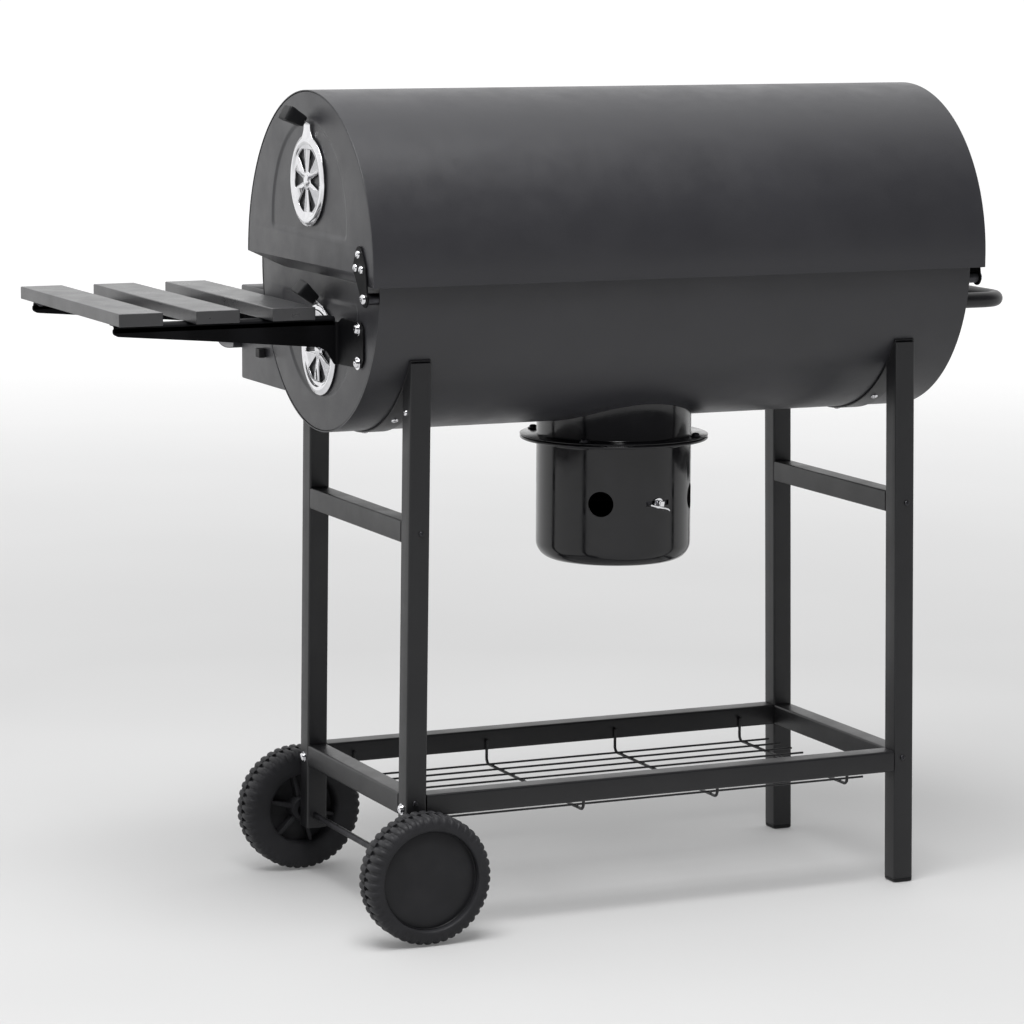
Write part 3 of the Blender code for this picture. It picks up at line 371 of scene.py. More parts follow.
# ---------------------------------------------------------------- materials
def node(tree, kind, output, **inputs):
    """Add a shader node, set or link its inputs by name, and return one of its outputs."""
    made = tree.nodes.new("ShaderNode" + kind)
    for name, value in inputs.items():
        socket = made.inputs[name.replace("_", " ")]
        if isinstance(value, bpy.types.NodeSocket):
            tree.links.new(value, socket)
        else:
            socket.default_value = value
    return made.outputs[output]


class Look:
    """A Principled material and short calls for the nodes that feed it."""

    def __init__(self, name, colour, roughness, **more):
        self.mat = bpy.data.materials.new(name)
        self.mat.use_nodes = True
        self.tree = self.mat.node_tree
        self.inputs = self.tree.nodes["Principled BSDF"].inputs
        self.base = colour
        self.inputs["Base Color"].default_value = (*colour, 1.0)
        self.inputs["Roughness"].default_value = roughness
        for socket, number in more.items():
            self.inputs[socket.replace("_", " ")].default_value = number
        self.where = node(self.tree, "TexCoord", "Object")
        self.height = None

    def feed(self, socket, value):
        self.tree.links.new(value, self.inputs[socket])

    def noise(self, scale, detail=2.0, rough=0.5, stretch=None):
        vector = node(self.tree, "Mapping", "Vector", Scale=stretch, Vector=self.where) if stretch else self.where
        return node(self.tree, "TexNoise", "Fac", Scale=scale, Detail=detail, Roughness=rough, Vector=vector)

    def cells(self, scale):
        return node(self.tree, "TexVoronoi", "Distance", Scale=scale, Vector=self.where)

    def span(self, value, low, high, start=0.3, stop=0.7):
        """Map a value from start..stop onto low..high."""
        return node(self.tree, "MapRange", "Result", From_Min=start, From_Max=stop, To_Min=low, To_Max=high,
                    Value=value)

    def tint(self, value, *stops):
        """Base colour that follows a value; a stop is a place and a factor on the colour."""
        colour = node(self.tree, "ValToRGB", "Color", Fac=value)
        elements = colour.node.color_ramp.elements
        while len(elements) < len(stops):
            elements.new(0.5)
        for element, (at, factor) in zip(elements, stops):
            element.position = at
            element.color = (*(min(1.0, c * factor) for c in self.base), 1.0)
        self.feed("Base Color", colour)

    def gloss(self, value, low, high):
        self.feed("Roughness", self.span(value, low, high))

    def bump(self, value, strength, distance):
        """Add one layer of relief on top of those already there."""
        below = {"Normal": self.height} if self.height else {}
        self.height = node(self.tree, "Bump", "Normal", Strength=strength, Distance=distance, Height=value, **below)
        self.feed("Normal", self.height)


def finish(look):
    """Hand back the Blender material that a look has built."""
    return look.mat


def powder(name, colour, roughness, grain=1.0, specular=0.5):
    """Baked powder coat: fine grain, a little orange peel, and uneven gloss where it was handled."""
    look = Look(name, colour, roughness, Specular_IOR_Level=specular)
    look.tint(look.noise(5.0, 4.0, 0.6), (0.3, 0.9), (0.52, 1.0), (0.75, 1.09))
    look.gloss(look.noise(23.0, 5.0, 0.65), roughness - 0.05, roughness + 0.06)
    look.bump(look.noise(420.0, 2.0, 0.5), 0.22 * grain, 0.0004)
    look.bump(look.noise(1900.0, 2.0, 0.6), 0.3 * grain, 0.0002)
    return finish(look)


def enamel(name, colour):
    """Vitreous enamel: deep gloss over a slightly wavy steel wall."""
    look = Look(name, colour, 0.14, Specular_IOR_Level=0.42, Coat_Weight=0.1, Coat_Roughness=0.08)
    look.tint(look.noise(40.0, 3.0), (0.35, 0.85), (0.65, 1.2))
    look.gloss(look.noise(60.0, 4.0), 0.1, 0.22)
    look.bump(look.noise(14.0, 1.0, 0.3, (1.0, 1.0, 0.25)), 0.35, 0.0016)
    look.bump(look.noise(700.0, 2.0), 0.05, 0.0002)
    return finish(look)


def chrome(name, colour, roughness=0.09):
    """Bright plating with faint polishing lines and cloudy spots."""
    look = Look(name, colour, roughness, Metallic=1.0)
    look.tint(look.noise(90.0, 4.0), (0.3, 0.9), (0.6, 1.0))
    look.gloss(look.noise(160.0, 5.0, 0.7), roughness * 0.6, roughness * 1.9)
    look.bump(look.noise(900.0, 1.0, 0.5, (1.0, 0.08, 1.0)), 0.05, 0.0001)
    return finish(look)


def zinc(name, colour, roughness=0.34):
    """Zinc plating with its faint crystal pattern."""
    look = Look(name, colour, roughness, Metallic=1.0)
    look.tint(look.cells(260.0), (0.1, 0.82), (0.6, 1.08))
    look.gloss(look.noise(120.0, 4.0), roughness - 0.08, roughness + 0.14)
    look.bump(look.noise(1500.0, 2.0), 0.12, 0.0001)
    return finish(look)


def moulded(name, colour, roughness, scale=1300.0, strength=0.35):
    """Textured moulded plastic."""
    look = Look(name, colour, roughness, Specular_IOR_Level=0.28)
    look.tint(look.noise(35.0, 4.0), (0.3, 0.85), (0.7, 1.18))
    look.gloss(look.noise(55.0, 3.0), roughness - 0.06, roughness + 0.08)
    look.bump(look.cells(scale), strength, 0.00012)
    look.bump(look.noise(300.0, 3.0), 0.1, 0.0003)
    return finish(look)


def cast_iron(name, colour):
    """Sand-cast iron, oiled and matt."""
    look = Look(name, colour, 0.62)
    look.tint(look.noise(70.0, 6.0, 0.7), (0.3, 0.65), (0.55, 1.0), (0.78, 1.7))
    look.gloss(look.noise(45.0, 5.0), 0.48, 0.8)
    look.bump(look.noise(520.0, 6.0, 0.75), 0.7, 0.0006)
    look.bump(look.cells(900.0), 0.25, 0.0003)
    return finish(look)


def print_ink(name, colour):
    look = Look(name, colour, 0.5)
    look.tint(look.noise(900.0, 2.0), (0.3, 0.92), (0.7, 1.06))
    look.gloss(look.noise(500.0, 2.0), 0.42, 0.58)
    return look.mat


def lens_glass(name):
    look = Look(name, (1.0, 1.0, 1.0), 0.03, Transmission_Weight=1.0, IOR=1.45)
    look.gloss(look.noise(80.0, 4.0), 0.0, 0.06)
    return look.mat


COAT = powder("drum_powder_coat", (0.026, 0.026, 0.0298), 0.38, 1.0, 0.52)
FRAME = powder("frame_powder_coat", (0.0085, 0.0085, 0.0098), 0.4, 0.8)
# Near-black, low-specular coat for the shelf brackets and hinge plates: painted shade, darker than the frame coat,
# standing in for the shade they sit in under the shelf and beside the lid's edge.
BRACKET_PAINTED_SHADE = powder("bracket_powder_coat", (0.0036, 0.0036, 0.0044), 0.5, 0.8, 0.1)
SLAT = powder("slat_powder_coat", (0.026, 0.026, 0.028), 0.31, 1.2, 0.75)
ENAMEL = enamel("black_enamel", (0.0055, 0.0055, 0.0068))
CHROME = chrome("chrome_plate", (0.8, 0.8, 0.82))
ZINC = zinc("zinc_plate", (0.58, 0.58, 0.6))
BLACK_ZINC = zinc("black_zinc_plate", (0.055, 0.055, 0.06), 0.38)
PLASTIC = moulded("black_plastic", (0.0075, 0.0075, 0.0085), 0.5)
TYRE = moulded("wheel_plastic", (0.021, 0.021, 0.0235), 0.56, 900.0, 0.5)
WHEEL_FACE = moulded("wheel_face_plastic", (0.016, 0.016, 0.018), 0.44, 1500.0, 0.25)
IRON = cast_iron("seasoned_cast_iron", (0.028, 0.027, 0.026))
DIAL = print_ink("dial_white", (0.8, 0.8, 0.77))
DIAL_BLACK = print_ink("dial_black", (0.015, 0.015, 0.016))
DIAL_RED = print_ink("dial_red", (0.55, 0.035, 0.025))
GLASS = lens_glass("dial_glass")

# ---------------------------------------------------------------- camera
CAMERA_AT = Vector((1.9831, 4.09, 1.1238))       # drum coordinates
CAMERA_RIGHT = Vector((-0.91133, 0.41165, 0.00479))
CAMERA_FORWARD = Vector((-0.40777, -0.90103, -0.14785))
LENS = 135.6


def make_camera():
    data = bpy.data.cameras.new("camera")
    data.lens = LENS
    data.sensor_width = 36.0
    data.clip_start = 0.05
    data.clip_end = 60.0
    camera = place(bpy.data.objects.new("camera", data))
    forward = CAMERA_FORWARD.normalized()
    right = (CAMERA_RIGHT - forward * CAMERA_RIGHT.dot(forward)).normalized()
    up = right.cross(forward)
    camera.matrix_world = axes_at(CAMERA_AT + HOME, right, up, -forward)
    bpy.context.scene.camera = camera


make_camera()

# ---------------------------------------------------------------- fasteners, gathered by body
fasteners = {}


def fasten(group, bm, direction, at, spin):
    fasteners.setdefault(group, []).append(aim(direction, at, bm, spin))


def screw(group, at, direction, radius=0.0048, height=0.0034, washer=0.0, spin=20.0):
    """Pan-head screw with a cross recess, its underside at the point given."""
    sides = 24
    bm = bmesh.new()
    base = 0.0
    if washer:
        rim = radius * washer
        lathe([(0.0, 0.0), (rim * 0.97, 0.0), (rim, 0.0003), (rim, 0.0009), (rim * 0.97, 0.0012), (0.0, 0.0012)],
              steps=sides, bm=bm)
        base = 0.0011
    turns = [2 * pi * k / sides for k in range(sides)]
    dome = ((1.0, 0.0), (1.0, 0.3), (0.95, 0.56), (0.82, 0.8), (0.62, 0.95), (0.47, 1.0))
    stations = [(base + height * h, circle(0.0, 0.0, radius * size, sides)) for size, h in dome]
    for h, size in ((0.99, 1.0), (0.45, 0.75)):
        cross = [radius * size * (0.13 + 0.29 * abs(cos(2 * a)) ** 4) for a in turns]
        stations.append((base + height * h, [(r * cos(a), r * sin(a)) for r, a in zip(cross, turns)]))
    fasten(group, stack("z", stations, bm), direction, at, spin)


def hex_bolt(group, at, direction, across=0.008, height=0.0038, washer=0.0, spin=10.0):
    """Hexagon head with a chamfered top, on a flat washer."""
    bm = bmesh.new()
    base = 0.0
    if washer:
        lathe([(0.0, 0.0), (washer, 0.0), (washer, 0.0011), (0.0, 0.0011)], steps=24, bm=bm)
        base = 0.001
    corner = across / sqrt(3.0)
    stations = [(base + height * h, circle(0.0, 0.0, corner * size, 6))
                for size, h in ((1.0, 0.0), (1.0, 0.85), (0.93, 1.0), (0.55, 1.03))]
    fasten(group, stack("z", stations, bm), direction, at, spin)


X = Vector((1.0, 0.0, 0.0))
Y = Vector((0.0, 1.0, 0.0))
Z = Vector((0.0, 0.0, 1.0))


# ---------------------------------------------------------------- sheet-metal ends
def d_outline(panel, inset, corner=0.008):
    """Half-round outline with a straight edge and rounded corners, in (y, z)."""
    centre_z, edge_z = panel
    sign = 1.0 if edge_z < centre_z + 0.001 else -1.0
    r = PANEL_R - inset
    c = corner - inset * 0.5
    mid = (edge_z - centre_z) * sign + inset + c
    across = sqrt(max((r - c) ** 2 - mid ** 2, 0.0))
    start = degrees(atan2(mid, across))
    points = arc(across, mid, c, -90.0, start, 8)
    points += arc(0.0, 0.0, r, start, 180.0 - start, 90)[1:-1]
    points += arc(-across, mid, c, 180.0 - start, 270.0, 8)
    return [(y, centre_z + sign * z) for y, z in points]


def half_disc(radius, inset, upper):
    """Curved edge of an end plate."""
    r = radius - inset
    if upper:
        return [(r, LID_REAR_Z)] + arc(0.0, LID_Z, r, 0.0, 180.0, 96) + [(-r, LID_FRONT_Z)]
    return [(-r, UPSTAND_Z)] + arc(0.0, BODY_Z, r, 180.0, 360.0, 96)


def straight_edge(upper):
    """Points that close an end plate's outline along its other edge."""
    if upper:
        return [LID_END, (0.15, LID_END[1])]
    return [(-0.06, BODY_Z), (-0.1, UPSTAND_Z)]


FOLD = 0.0015
FLANGE = 0.014
AIR_AT, AIR_R, AIR_GUARD_R = 0.029, 0.0065, 0.0072     # the air holes' circle, their radius and the flat round each


def end_plate(name, sign, half, radius, upper, panel, vent, body, replaces=""):
    """End plate with a folded flange, a pressed panel and, at the wheel end, air holes."""
    face = sign * (half - 0.0003)
    radius -= SHEET + 0.0002
    bm = bmesh.new()

    def ring(points, x):
        return loop(bm, "x", points, x)

    rings = [ring(half_disc(radius, 0.0, upper), face - sign * FLANGE)]
    for k in range(7):
        turn = radians(15.0 * k)
        rings.append(ring(half_disc(radius, FOLD * (1 - cos(turn)), upper), face - sign * FOLD * (1 - sin(turn))))
    ring_strip(bm, rings, closed=False)
    steps = 8
    panels = [ring(d_outline(panel, -0.0008), face)]
    for k in range(steps + 1):
        t = k / steps
        depth = PANEL_DEPTH * t * t * (3 - 2 * t)
        panels.append(ring(d_outline(panel, PANEL_SLOPE * t), face - sign * depth))
    panels.append(ring(d_outline(panel, PANEL_SLOPE + 0.0008), face - sign * PANEL_DEPTH))
    ring_strip(bm, panels)
    fill(bm, [rings[-1] + ring(straight_edge(upper), face), panels[0]])
    loops = [panels[-1]]
    if vent:
        at, tilt = vent
        floor = face - sign * PANEL_DEPTH
        for k in range(6):
            a = radians(60.0 * k - tilt)
            spot = (at.y + AIR_AT * sin(a), at.z + AIR_AT * cos(a))
            guard, hole = ring(circle(*spot, AIR_GUARD_R, 24), floor), ring(circle(*spot, AIR_R, 24), floor)
            ring_strip(bm, [guard, hole])
            loops.append(guard)
    fill(bm, loops)
    thicken(piece(name, bm, COAT, body, replaces, sharp=50.0, facing=(sign, 0.0, 0.0)), 0.0011)


def half_shell(radius, inner, upper):
    """Section of a half drum's rolled sheet."""
    if upper:
        outside = [(radius, LID_REAR_Z)] + arc(0.0, LID_Z, radius, 0.0, 180.0, DRUM_STEPS)
        outside.append((-radius, LID_FRONT_Z))
        inside = [(-inner, LID_FRONT_Z)] + arc(0.0, LID_Z, inner, 180.0, 0.0, DRUM_STEPS)
        return outside + inside + [(inner, LID_REAR_Z)]
    lip = radius + RIM_LIP
    curl = 0.0022
    outside = [(-radius, UPSTAND_Z)] + arc(0.0, BODY_Z, radius, 180.0, 359.3, DRUM_STEPS)
    rolled = arc(lip - curl / 2, BODY_Z - curl / 2, curl / 2, -90.0, 90.0, 6)
    inside = arc(0.0, BODY_Z, inner, 360.0, 180.0, DRUM_STEPS)
    return outside + rolled + inside + [(-inner, UPSTAND_Z)]


# ---------------------------------------------------------------- lid
def make_lid():
    skin = piece("lid_skin", prism(half_shell(LID_R, LID_R - SHEET, True), "x", -LID_HALF, LID_HALF), COAT, "lid",
                 "lid_shell")
    soften(skin, 0.00045, 3)
    end_plate("lid_end_plate_wheel_side", 1, LID_HALF, LID_R, True, LID_PANEL,
              (LID_VENT, VENT_TILT["lid_vent"]), "lid")
    end_plate("lid_end_plate_handle_side", -1, LID_HALF, LID_R, True, LID_PANEL, None, "lid")


def make_lower_drum():
    skin = piece("drum_skin", prism(half_shell(BODY_R, BODY_R - SHEET, False), "x", -BODY_HALF, BODY_HALF), COAT,
                 replaces="barrel_shell")
    box_low, box_high = local_box("charcoal_box")
    carve(skin, "ash_hole", rod("z", 0.0, 0.0, 0.08, 0.5, 0.62, 96))
    carve(skin, "coal_opening", box(-0.28, 0.28, -0.3, -0.05, box_low.z + 0.012, box_high.z - 0.012))
    drains = bmesh.new()
    for sx in (-0.2, 0.2):
        for sy in (-0.03, 0.03):
            rod("z", sx, sy, 0.005, 0.5, 0.62, 24, drains)
    carve(skin, "drains", drains)
    soften(reshade(skin), 0.0004, 2)
    end_plate("drum_end_wheel_side", 1, BODY_HALF, BODY_R, False, CAP_PANEL, (CAP_VENT, VENT_TILT["cap_vent"]),
              "cart", "end_cap_wheel_side")
    end_plate("drum_end_handle_side", -1, BODY_HALF, BODY_R, False, CAP_PANEL, None, "cart", "end_cap_handle_side")


make_lid()
make_lower_drum()


# ---------------------------------------------------------------- rotary vents
def vent(name, at, face, body, holder):
    """Stamped chrome damper with six windows and a raised rim, its bent tab and knob, and its rivet."""
    low = face + 0.0003
    thick = 0.001
    turn = radians(VENT_TILT[name])
    neck, lean, reach = VENT_TAB[name]
    lean = radians(lean)

    def spun(points):
        return [(at.y + y * cos(turn) - z * sin(turn), at.z + y * sin(turn) + z * cos(turn)) for y, z in points]

    bm = bmesh.new()

    def ring(points, x):
        return loop(bm, "x", spun(points), x)

    windows = []
    for k in range(6):
        mid = 60.0 * k + 120.0
        wedge = arc(0.0, 0.0, 0.011, mid - 10.0, mid + 10.0, 2) + arc(0.0, 0.0, 0.0375, mid + 15.5, mid - 15.5, 5)
        windows.append(rounded(wedge, 0.0016, 3))
    rim = []
    for k in range(13):
        t = k / 12
        lift = 0.0021 * sin(pi * min(1.0, t * 1.12)) if t < 0.89 else -0.0002
        rim.append(ring(circle(0.0, 0.0, 0.0405 + 0.0113 * t, 96), low + thick + lift))
    hub = ring(circle(0.0, 0.0, 0.0034, 24), low + thick)
    fill(bm, [rim[0], hub] + [ring(w, low + thick) for w in windows])
    ring_strip(bm, rim)
    disc = piece(name + "_damper", bm, CHROME, body, name + "_disc", sharp=45.0, facing=(1.0, 0.0, 0.0))
    thicken(disc, thick)

    def cut_across(x, r, angle, half_thick, half_wide, corner=0.0003):
        """Cross-section of the tab or the knob, square to its direction at that point."""
        made = []
        shape = [(-half_wide, -half_thick), (half_wide, -half_thick),
                 (half_wide, half_thick), (-half_wide, half_thick)]
        for across, up in rounded(shape, corner, 4):
            y, z = spun([(across, r - up * sin(angle))])[0]
            made.append(bm.verts.new((x + up * cos(angle), y, z)))
        return made

    bm = bmesh.new()
    mid_x = low + thick / 2
    bend = 0.0032
    start = neck - bend * tan(lean / 2)
    stations = [(mid_x, 0.0475 + (start - 0.0475) * k / 8, 0.0) for k in range(9)]
    for k in range(1, 9):
        a = lean * k / 8
        stations.append((mid_x + bend * (1 - cos(a)), start + bend * sin(a), a))
    x1, r1 = stations[-1][:2]
    stations += [(x1 + sin(lean) * reach * t, r1 + cos(lean) * reach * t, lean) for t in (0.5, 1.0, 1.3)]
    strips = []
    for x, r, a in stations:
        flare = max(0.0, (start - r) / (start - 0.0475)) if a == 0.0 else 0.0
        strips.append(cut_across(x, r, a, thick / 2, 0.0094 + 0.0075 * flare ** 2))
    ring_strip(bm, strips, ends=True)
    piece(name + "_damper_tab", bm, CHROME, body, sharp=50.0)

    bm = bmesh.new()
    grip = ((0.0, 0.0052, 0.0082), (0.0007, 0.006, 0.009), (0.0035, 0.0066, 0.0098), (0.012, 0.0074, 0.0106),
            (0.016, 0.0079, 0.0111), (0.019, 0.0084, 0.0116), (0.0215, 0.0086, 0.0118), (0.0237, 0.0085, 0.0117),
            (0.0247, 0.0079, 0.0111), (0.025, 0.007, 0.0102))
    knob = [cut_across(mid_x + sin(lean) * (reach + s), neck - 0.0006 + cos(lean) * (reach + s), lean, thick_at, wide,
                       0.0022) for s, thick_at, wide in grip]
    ring_strip(bm, knob, ends=True)
    piece(name + "_grip", bm, PLASTIC, body, name + "_knob", sharp=50.0)

    bm = bmesh.new()
    top = low + thick
    lathe([(0.0, top), (0.0066, top), (0.0068, top + 0.0007), (0.006, top + 0.0016), (0.0042, top + 0.0024),
           (0.002, top + 0.0028), (0.0, top + 0.0029)], "x", (at.y, at.z), 32, bm)
    back = low - PANEL_DEPTH - 0.0018
    lathe([(0.0, back - 0.0016), (0.005, back - 0.0014), (0.006, back), (0.003, back), (0.003, top), (0.0, top)],
          "x", (at.y, at.z), 32, bm)
    piece(name + "_rivet_head", bm, CHROME, holder, name + "_rivet")


vent("lid_vent", LID_VENT, LID_HALF, "lid_vent", "lid")
vent("cap_vent", CAP_VENT, BODY_HALF, "cap_vent", "cart")


# ---------------------------------------------------------------- hinges
def hinge(side, sign):
    """Teardrop plate, three chrome screws and the shoulder bolt that it turns on."""
    top = arc(0.158, 0.776, 0.009, 30.0, 150.0, 16)
    left = arc(0.149, 0.76, 0.0085, 150.0, 250.0, 12)
    eye = arc(HINGE_Y, HINGE_Z, 0.0095, 205.0, 395.0, 24)
    right = arc(0.17, 0.7595, 0.008, -5.0, 30.0, 6)
    low, high = sorted((sign * (LID_HALF + 0.0003), sign * (LID_HALF + 0.0023)))
    # The plate takes the bracket coat: painted shade, darker than the lid grey that the plate really has.
    plate = piece("hinge_leaf_" + side, prism(top + left + eye + right, "x", low, high), BRACKET_PAINTED_SHADE, "lid",
                  "hinge_plate_" + side)
    soften(plate, 0.0006)
    for y, z in ((0.158, 0.7756), (0.1503, 0.7603), (0.1672, 0.7595)):
        screw("hinge_screws_chrome lid", (sign * (LID_HALF + 0.0022), y, z), X * sign, 0.0046, 0.003,
              spin=15.0 + 700.0 * y)
    bm = bmesh.new()
    profile = [(0.0, 0.369), (0.0046, 0.369), (0.0046, BODY_HALF - 0.002), (0.0033, BODY_HALF - 0.002),
               (0.0033, BODY_HALF + 0.0003), (0.0066, BODY_HALF + 0.0003), (0.0066, LID_HALF), (0.0034, LID_HALF),
               (0.0034, LID_HALF + 0.0023), (0.0, LID_HALF + 0.0023)]
    lathe([(r, sign * h) for r, h in profile], "x", (HINGE_Y, HINGE_Z), 40, bm)
    piece("hinge_bolt_" + side, bm, BLACK_ZINC, replaces="hinge_pin_" + side)
    screw("hinge_bolt_heads_chrome cart", (sign * (LID_HALF + 0.0025), HINGE_Y, HINGE_Z), X * sign,
          0.0058, 0.0042, 0.0, 33.0)


hinge("wheel_side", 1)
hinge("handle_side", -1)


# ---------------------------------------------------------------- lid handle and thermometer
POST_X = 0.2                         # the handle posts, either side of the middle


def make_lid_handle():
    bar_low, bar_high = local_box("lid_handle_bar")
    bar = (bar_low + bar_high) / 2
    half = (bar_high.x - bar_low.x) / 2
    tilt = atan2(bar.z - LID_Z, -bar.y)
    outward = Vector((0.0, -cos(tilt), sin(tilt)))
    r = (bar_high.z - bar_low.z) / 2
    profile = [(0.0, -half), (r * 0.55, -half), (r * 0.82, -half + 0.0012), (r * 0.97, -half + 0.0045)]
    ribs = 22
    for k in range(ribs + 1):
        x = -half + 0.05 + (2 * half - 0.1) * k / ribs
        profile += [(r, x - 0.003), (r, x + 0.003), (r * 0.93, x + 0.0042), (r * 0.93, x + 0.0055)]
    profile += [(r * 0.97, half - 0.0045), (r * 0.82, half - 0.0012), (r * 0.55, half), (0.0, half)]
    piece("lid_grip", lathe(profile, "x", (bar.y, bar.z), 40), PLASTIC, "lid", "lid_handle_bar", sharp=50.0)
    for side, sign in (("wheel_side", 1), ("handle_side", -1)):
        foot = Vector((sign * POST_X, 0.0, LID_Z)) + outward * (LID_R + 0.0002)
        length = (Vector((0.0, bar.y, bar.z)) - Vector((0.0, 0.0, LID_Z))).length - LID_R - r * 0.93
        profile = [(0.0, 0.0), (0.0128, 0.0), (0.013, 0.0006), (0.0128, 0.002), (0.0112, 0.003),
                   (0.0078, 0.0044), (0.0062, 0.0075), (0.0057, 0.014), (0.0057, 0.026), (0.0064, 0.033),
                   (0.008, length - 0.002), (0.008, length), (0.0, length)]
        piece("lid_handle_stem_" + side, aim(outward, foot, lathe(profile, steps=40)), CHROME, "lid",
              "lid_handle_post_" + side, sharp=45.0)
        nut_at = Vector((sign * POST_X, 0.0, LID_Z)) + outward * (LID_R - SHEET)
        hex_bolt("lid_inner_nuts_zinc lid", nut_at, -outward, 0.011, 0.005, 0.01)


THERMO_TILT = radians(38.0)


def dial_number(number, height, matrix):
    """A generic dial number as a thin raised print."""
    data = bpy.data.curves.new("dial_number_%d" % number, "FONT")
    data.body = str(number)
    data.size = height
    data.align_x = "CENTER"
    data.align_y = "CENTER"
    data.extrude = 0.00004
    text = place(bpy.data.objects.new("dial_number_%d" % number, data))
    bpy.context.view_layer.update()
    mesh = bpy.data.meshes.new_from_object(text.evaluated_get(bpy.context.evaluated_depsgraph_get()))
    bpy.data.objects.remove(text)
    mesh.transform(matrix)
    bm = bmesh.new()
    bm.from_mesh(mesh)
    bpy.data.meshes.remove(mesh)
    return bm


def make_thermometer():
    outward = Vector((0.0, -cos(THERMO_TILT), sin(THERMO_TILT)))
    up = Vector((0.0, sin(THERMO_TILT), cos(THERMO_TILT)))
    side = up.cross(outward)
    at = Vector((0.0, 0.0, LID_Z)) + outward * LID_R
    bezel = mm((24, 0.6), (25.6, 1.4), (26.2, 3), (26.2, 10), (25.8, 11.8), (24.6, 12.8), (23.4, 12.8), (22.6, 11.8),
               (22.2, 8.8), (18, 8), (18, 0.6))
    bm = aim(outward, at, lathe(bezel, steps=72))
    probe = mm((0, -45), (1.4, -44.6), (2.2, -43), (2.2, -14), (4.6, -13), (4.6, 1), (0, 1))
    bm = merge(bm, aim(outward, at, lathe(probe, steps=24)))
    piece("thermometer_case", bm, CHROME, "lid", "lid_thermometer", sharp=40.0)
    hex_bolt("lid_inner_nuts_zinc lid", at - outward * SHEET, -outward, 0.014, 0.0045, 0.011)
    face = mm((0, 8), (22.3, 8), (22.3, 9.2), (0, 9.2))
    piece("thermometer_dial", aim(outward, at, lathe(face, steps=64)), DIAL, "lid")
    level = at + outward * 0.00922

    def turned(bm, angle, origin):
        """Turn a mark from the top of the dial to its place."""
        a = radians(angle)
        matrix = axes_at(origin, side * cos(a) - up * sin(a), side * sin(a) + up * cos(a), outward)
        bmesh.ops.transform(bm, verts=bm.verts, matrix=matrix)
        return bm

    prints = []
    for k in range(33):
        long_tick = k % 4 == 0
        inner, outer = (0.017, 0.0205) if long_tick else (0.0185, 0.0205)
        wide = 0.0004 if long_tick else 0.00022
        prints.append(turned(box(-wide, wide, inner, outer, 0.0, 0.00006), -120.0 + 240.0 * k / 32, level))
    for k in range(5):
        a = radians(-120.0 + 60.0 * k)
        spot = level + (side * sin(a) + up * cos(a)) * 0.0132
        prints.append(dial_number(50 + 75 * k, 0.0046, axes_at(spot, side, up, outward)))
    piece("thermometer_scale", merge(*prints), DIAL_BLACK, "lid", sharp=30.0)
    needle = prism(mm((-1.1, -5), (1.1, -5), (0.3, 16.5), (-0.3, 16.5)), "z", 0.0, 0.0004)
    lathe(mm((0, 0), (2.2, 0), (2.2, 0.8), (1.6, 1.2), (0, 1.3)), steps=24, bm=needle)
    piece("thermometer_needle", turned(needle, -105.0, level + outward * 0.0006), DIAL_RED, "lid")
    lens = mm((0, 11.2), (22, 11.2), (22.6, 11.6), (22, 12.1), (12, 12.5), (0, 12.7))
    piece("thermometer_lens", aim(outward, at, lathe(lens, steps=64)), GLASS, "lid")


make_lid_handle()
make_thermometer()


# ---------------------------------------------------------------- square-tube frame
def square(a, b, half, corner, steps=5):
    return rounded([(a - half, b - half), (a + half, b - half), (a + half, b + half), (a - half, b + half)],
                   corner, steps)


def lean_of(end):
    """Inward lean of a leg frame, X per Z, read from the box of one of its legs."""
    low, high = local_box("leg_%s_rear" % end)
    across = high.x - low.x - (local_box("rail_rear")[1].z - local_box("rail_rear")[0].z)
    return across / (high.z - low.z) * (1 if end == "stand" else -1)


LEAN = {end: lean_of(end) for end in ("wheel", "stand")}


def tip(bm, node, middle_z):
    """Slide a leg frame's piece in X in step with its height."""
    slope = LEAN["wheel" if "wheel" in node else "stand"]
    for vert in bm.verts:
        vert.co.x += slope * (vert.co.z - middle_z)


def leg_x(end, z):
    """Centre of a leg in X at a height."""
    low, high = local_box("leg_%s_rear" % end)
    return (low.x + high.x) / 2 + LEAN[end] * (z - (low.z + high.z) / 2)


def tube(node, axis, low=None):
    """Square tube with rounded corners and a real wall, read from the CAD node's box."""
    box_low, box_high = local_box(node)
    index = "xyz".index(axis)
    others = [k for k in range(3) if k != index]
    a, b = ((box_low[k] + box_high[k]) / 2 for k in others)
    half = min(box_high[k] - box_low[k] for k in others) / 2
    start = box_low[index] if low is None else low
    stop = box_high[index]
    chamfer = 0.0005
    wall = half - TUBE_WALL
    inside = TUBE_CORNER - 0.001
    stations = ((start + chamfer, half, TUBE_CORNER), (stop - chamfer, half, TUBE_CORNER),
                (stop, half - chamfer, TUBE_CORNER), (stop, wall, inside),
                (start, wall, inside), (start, half - chamfer, TUBE_CORNER))
    bm = stack(axis, [(h, square(a, b, size, corner)) for h, size, corner in stations], joined=True)
    if axis != "x":
        tip(bm, node, (box_low.z + box_high.z) / 2)
    return piece("tube_" + node, bm, FRAME, replaces=node, sharp=32.0)


STRAP_T = 0.002
HALF_TUBE = local_box("rail_rear")[1].y - middle("rail_rear").y
STRAP_R = BODY_R + 0.0003


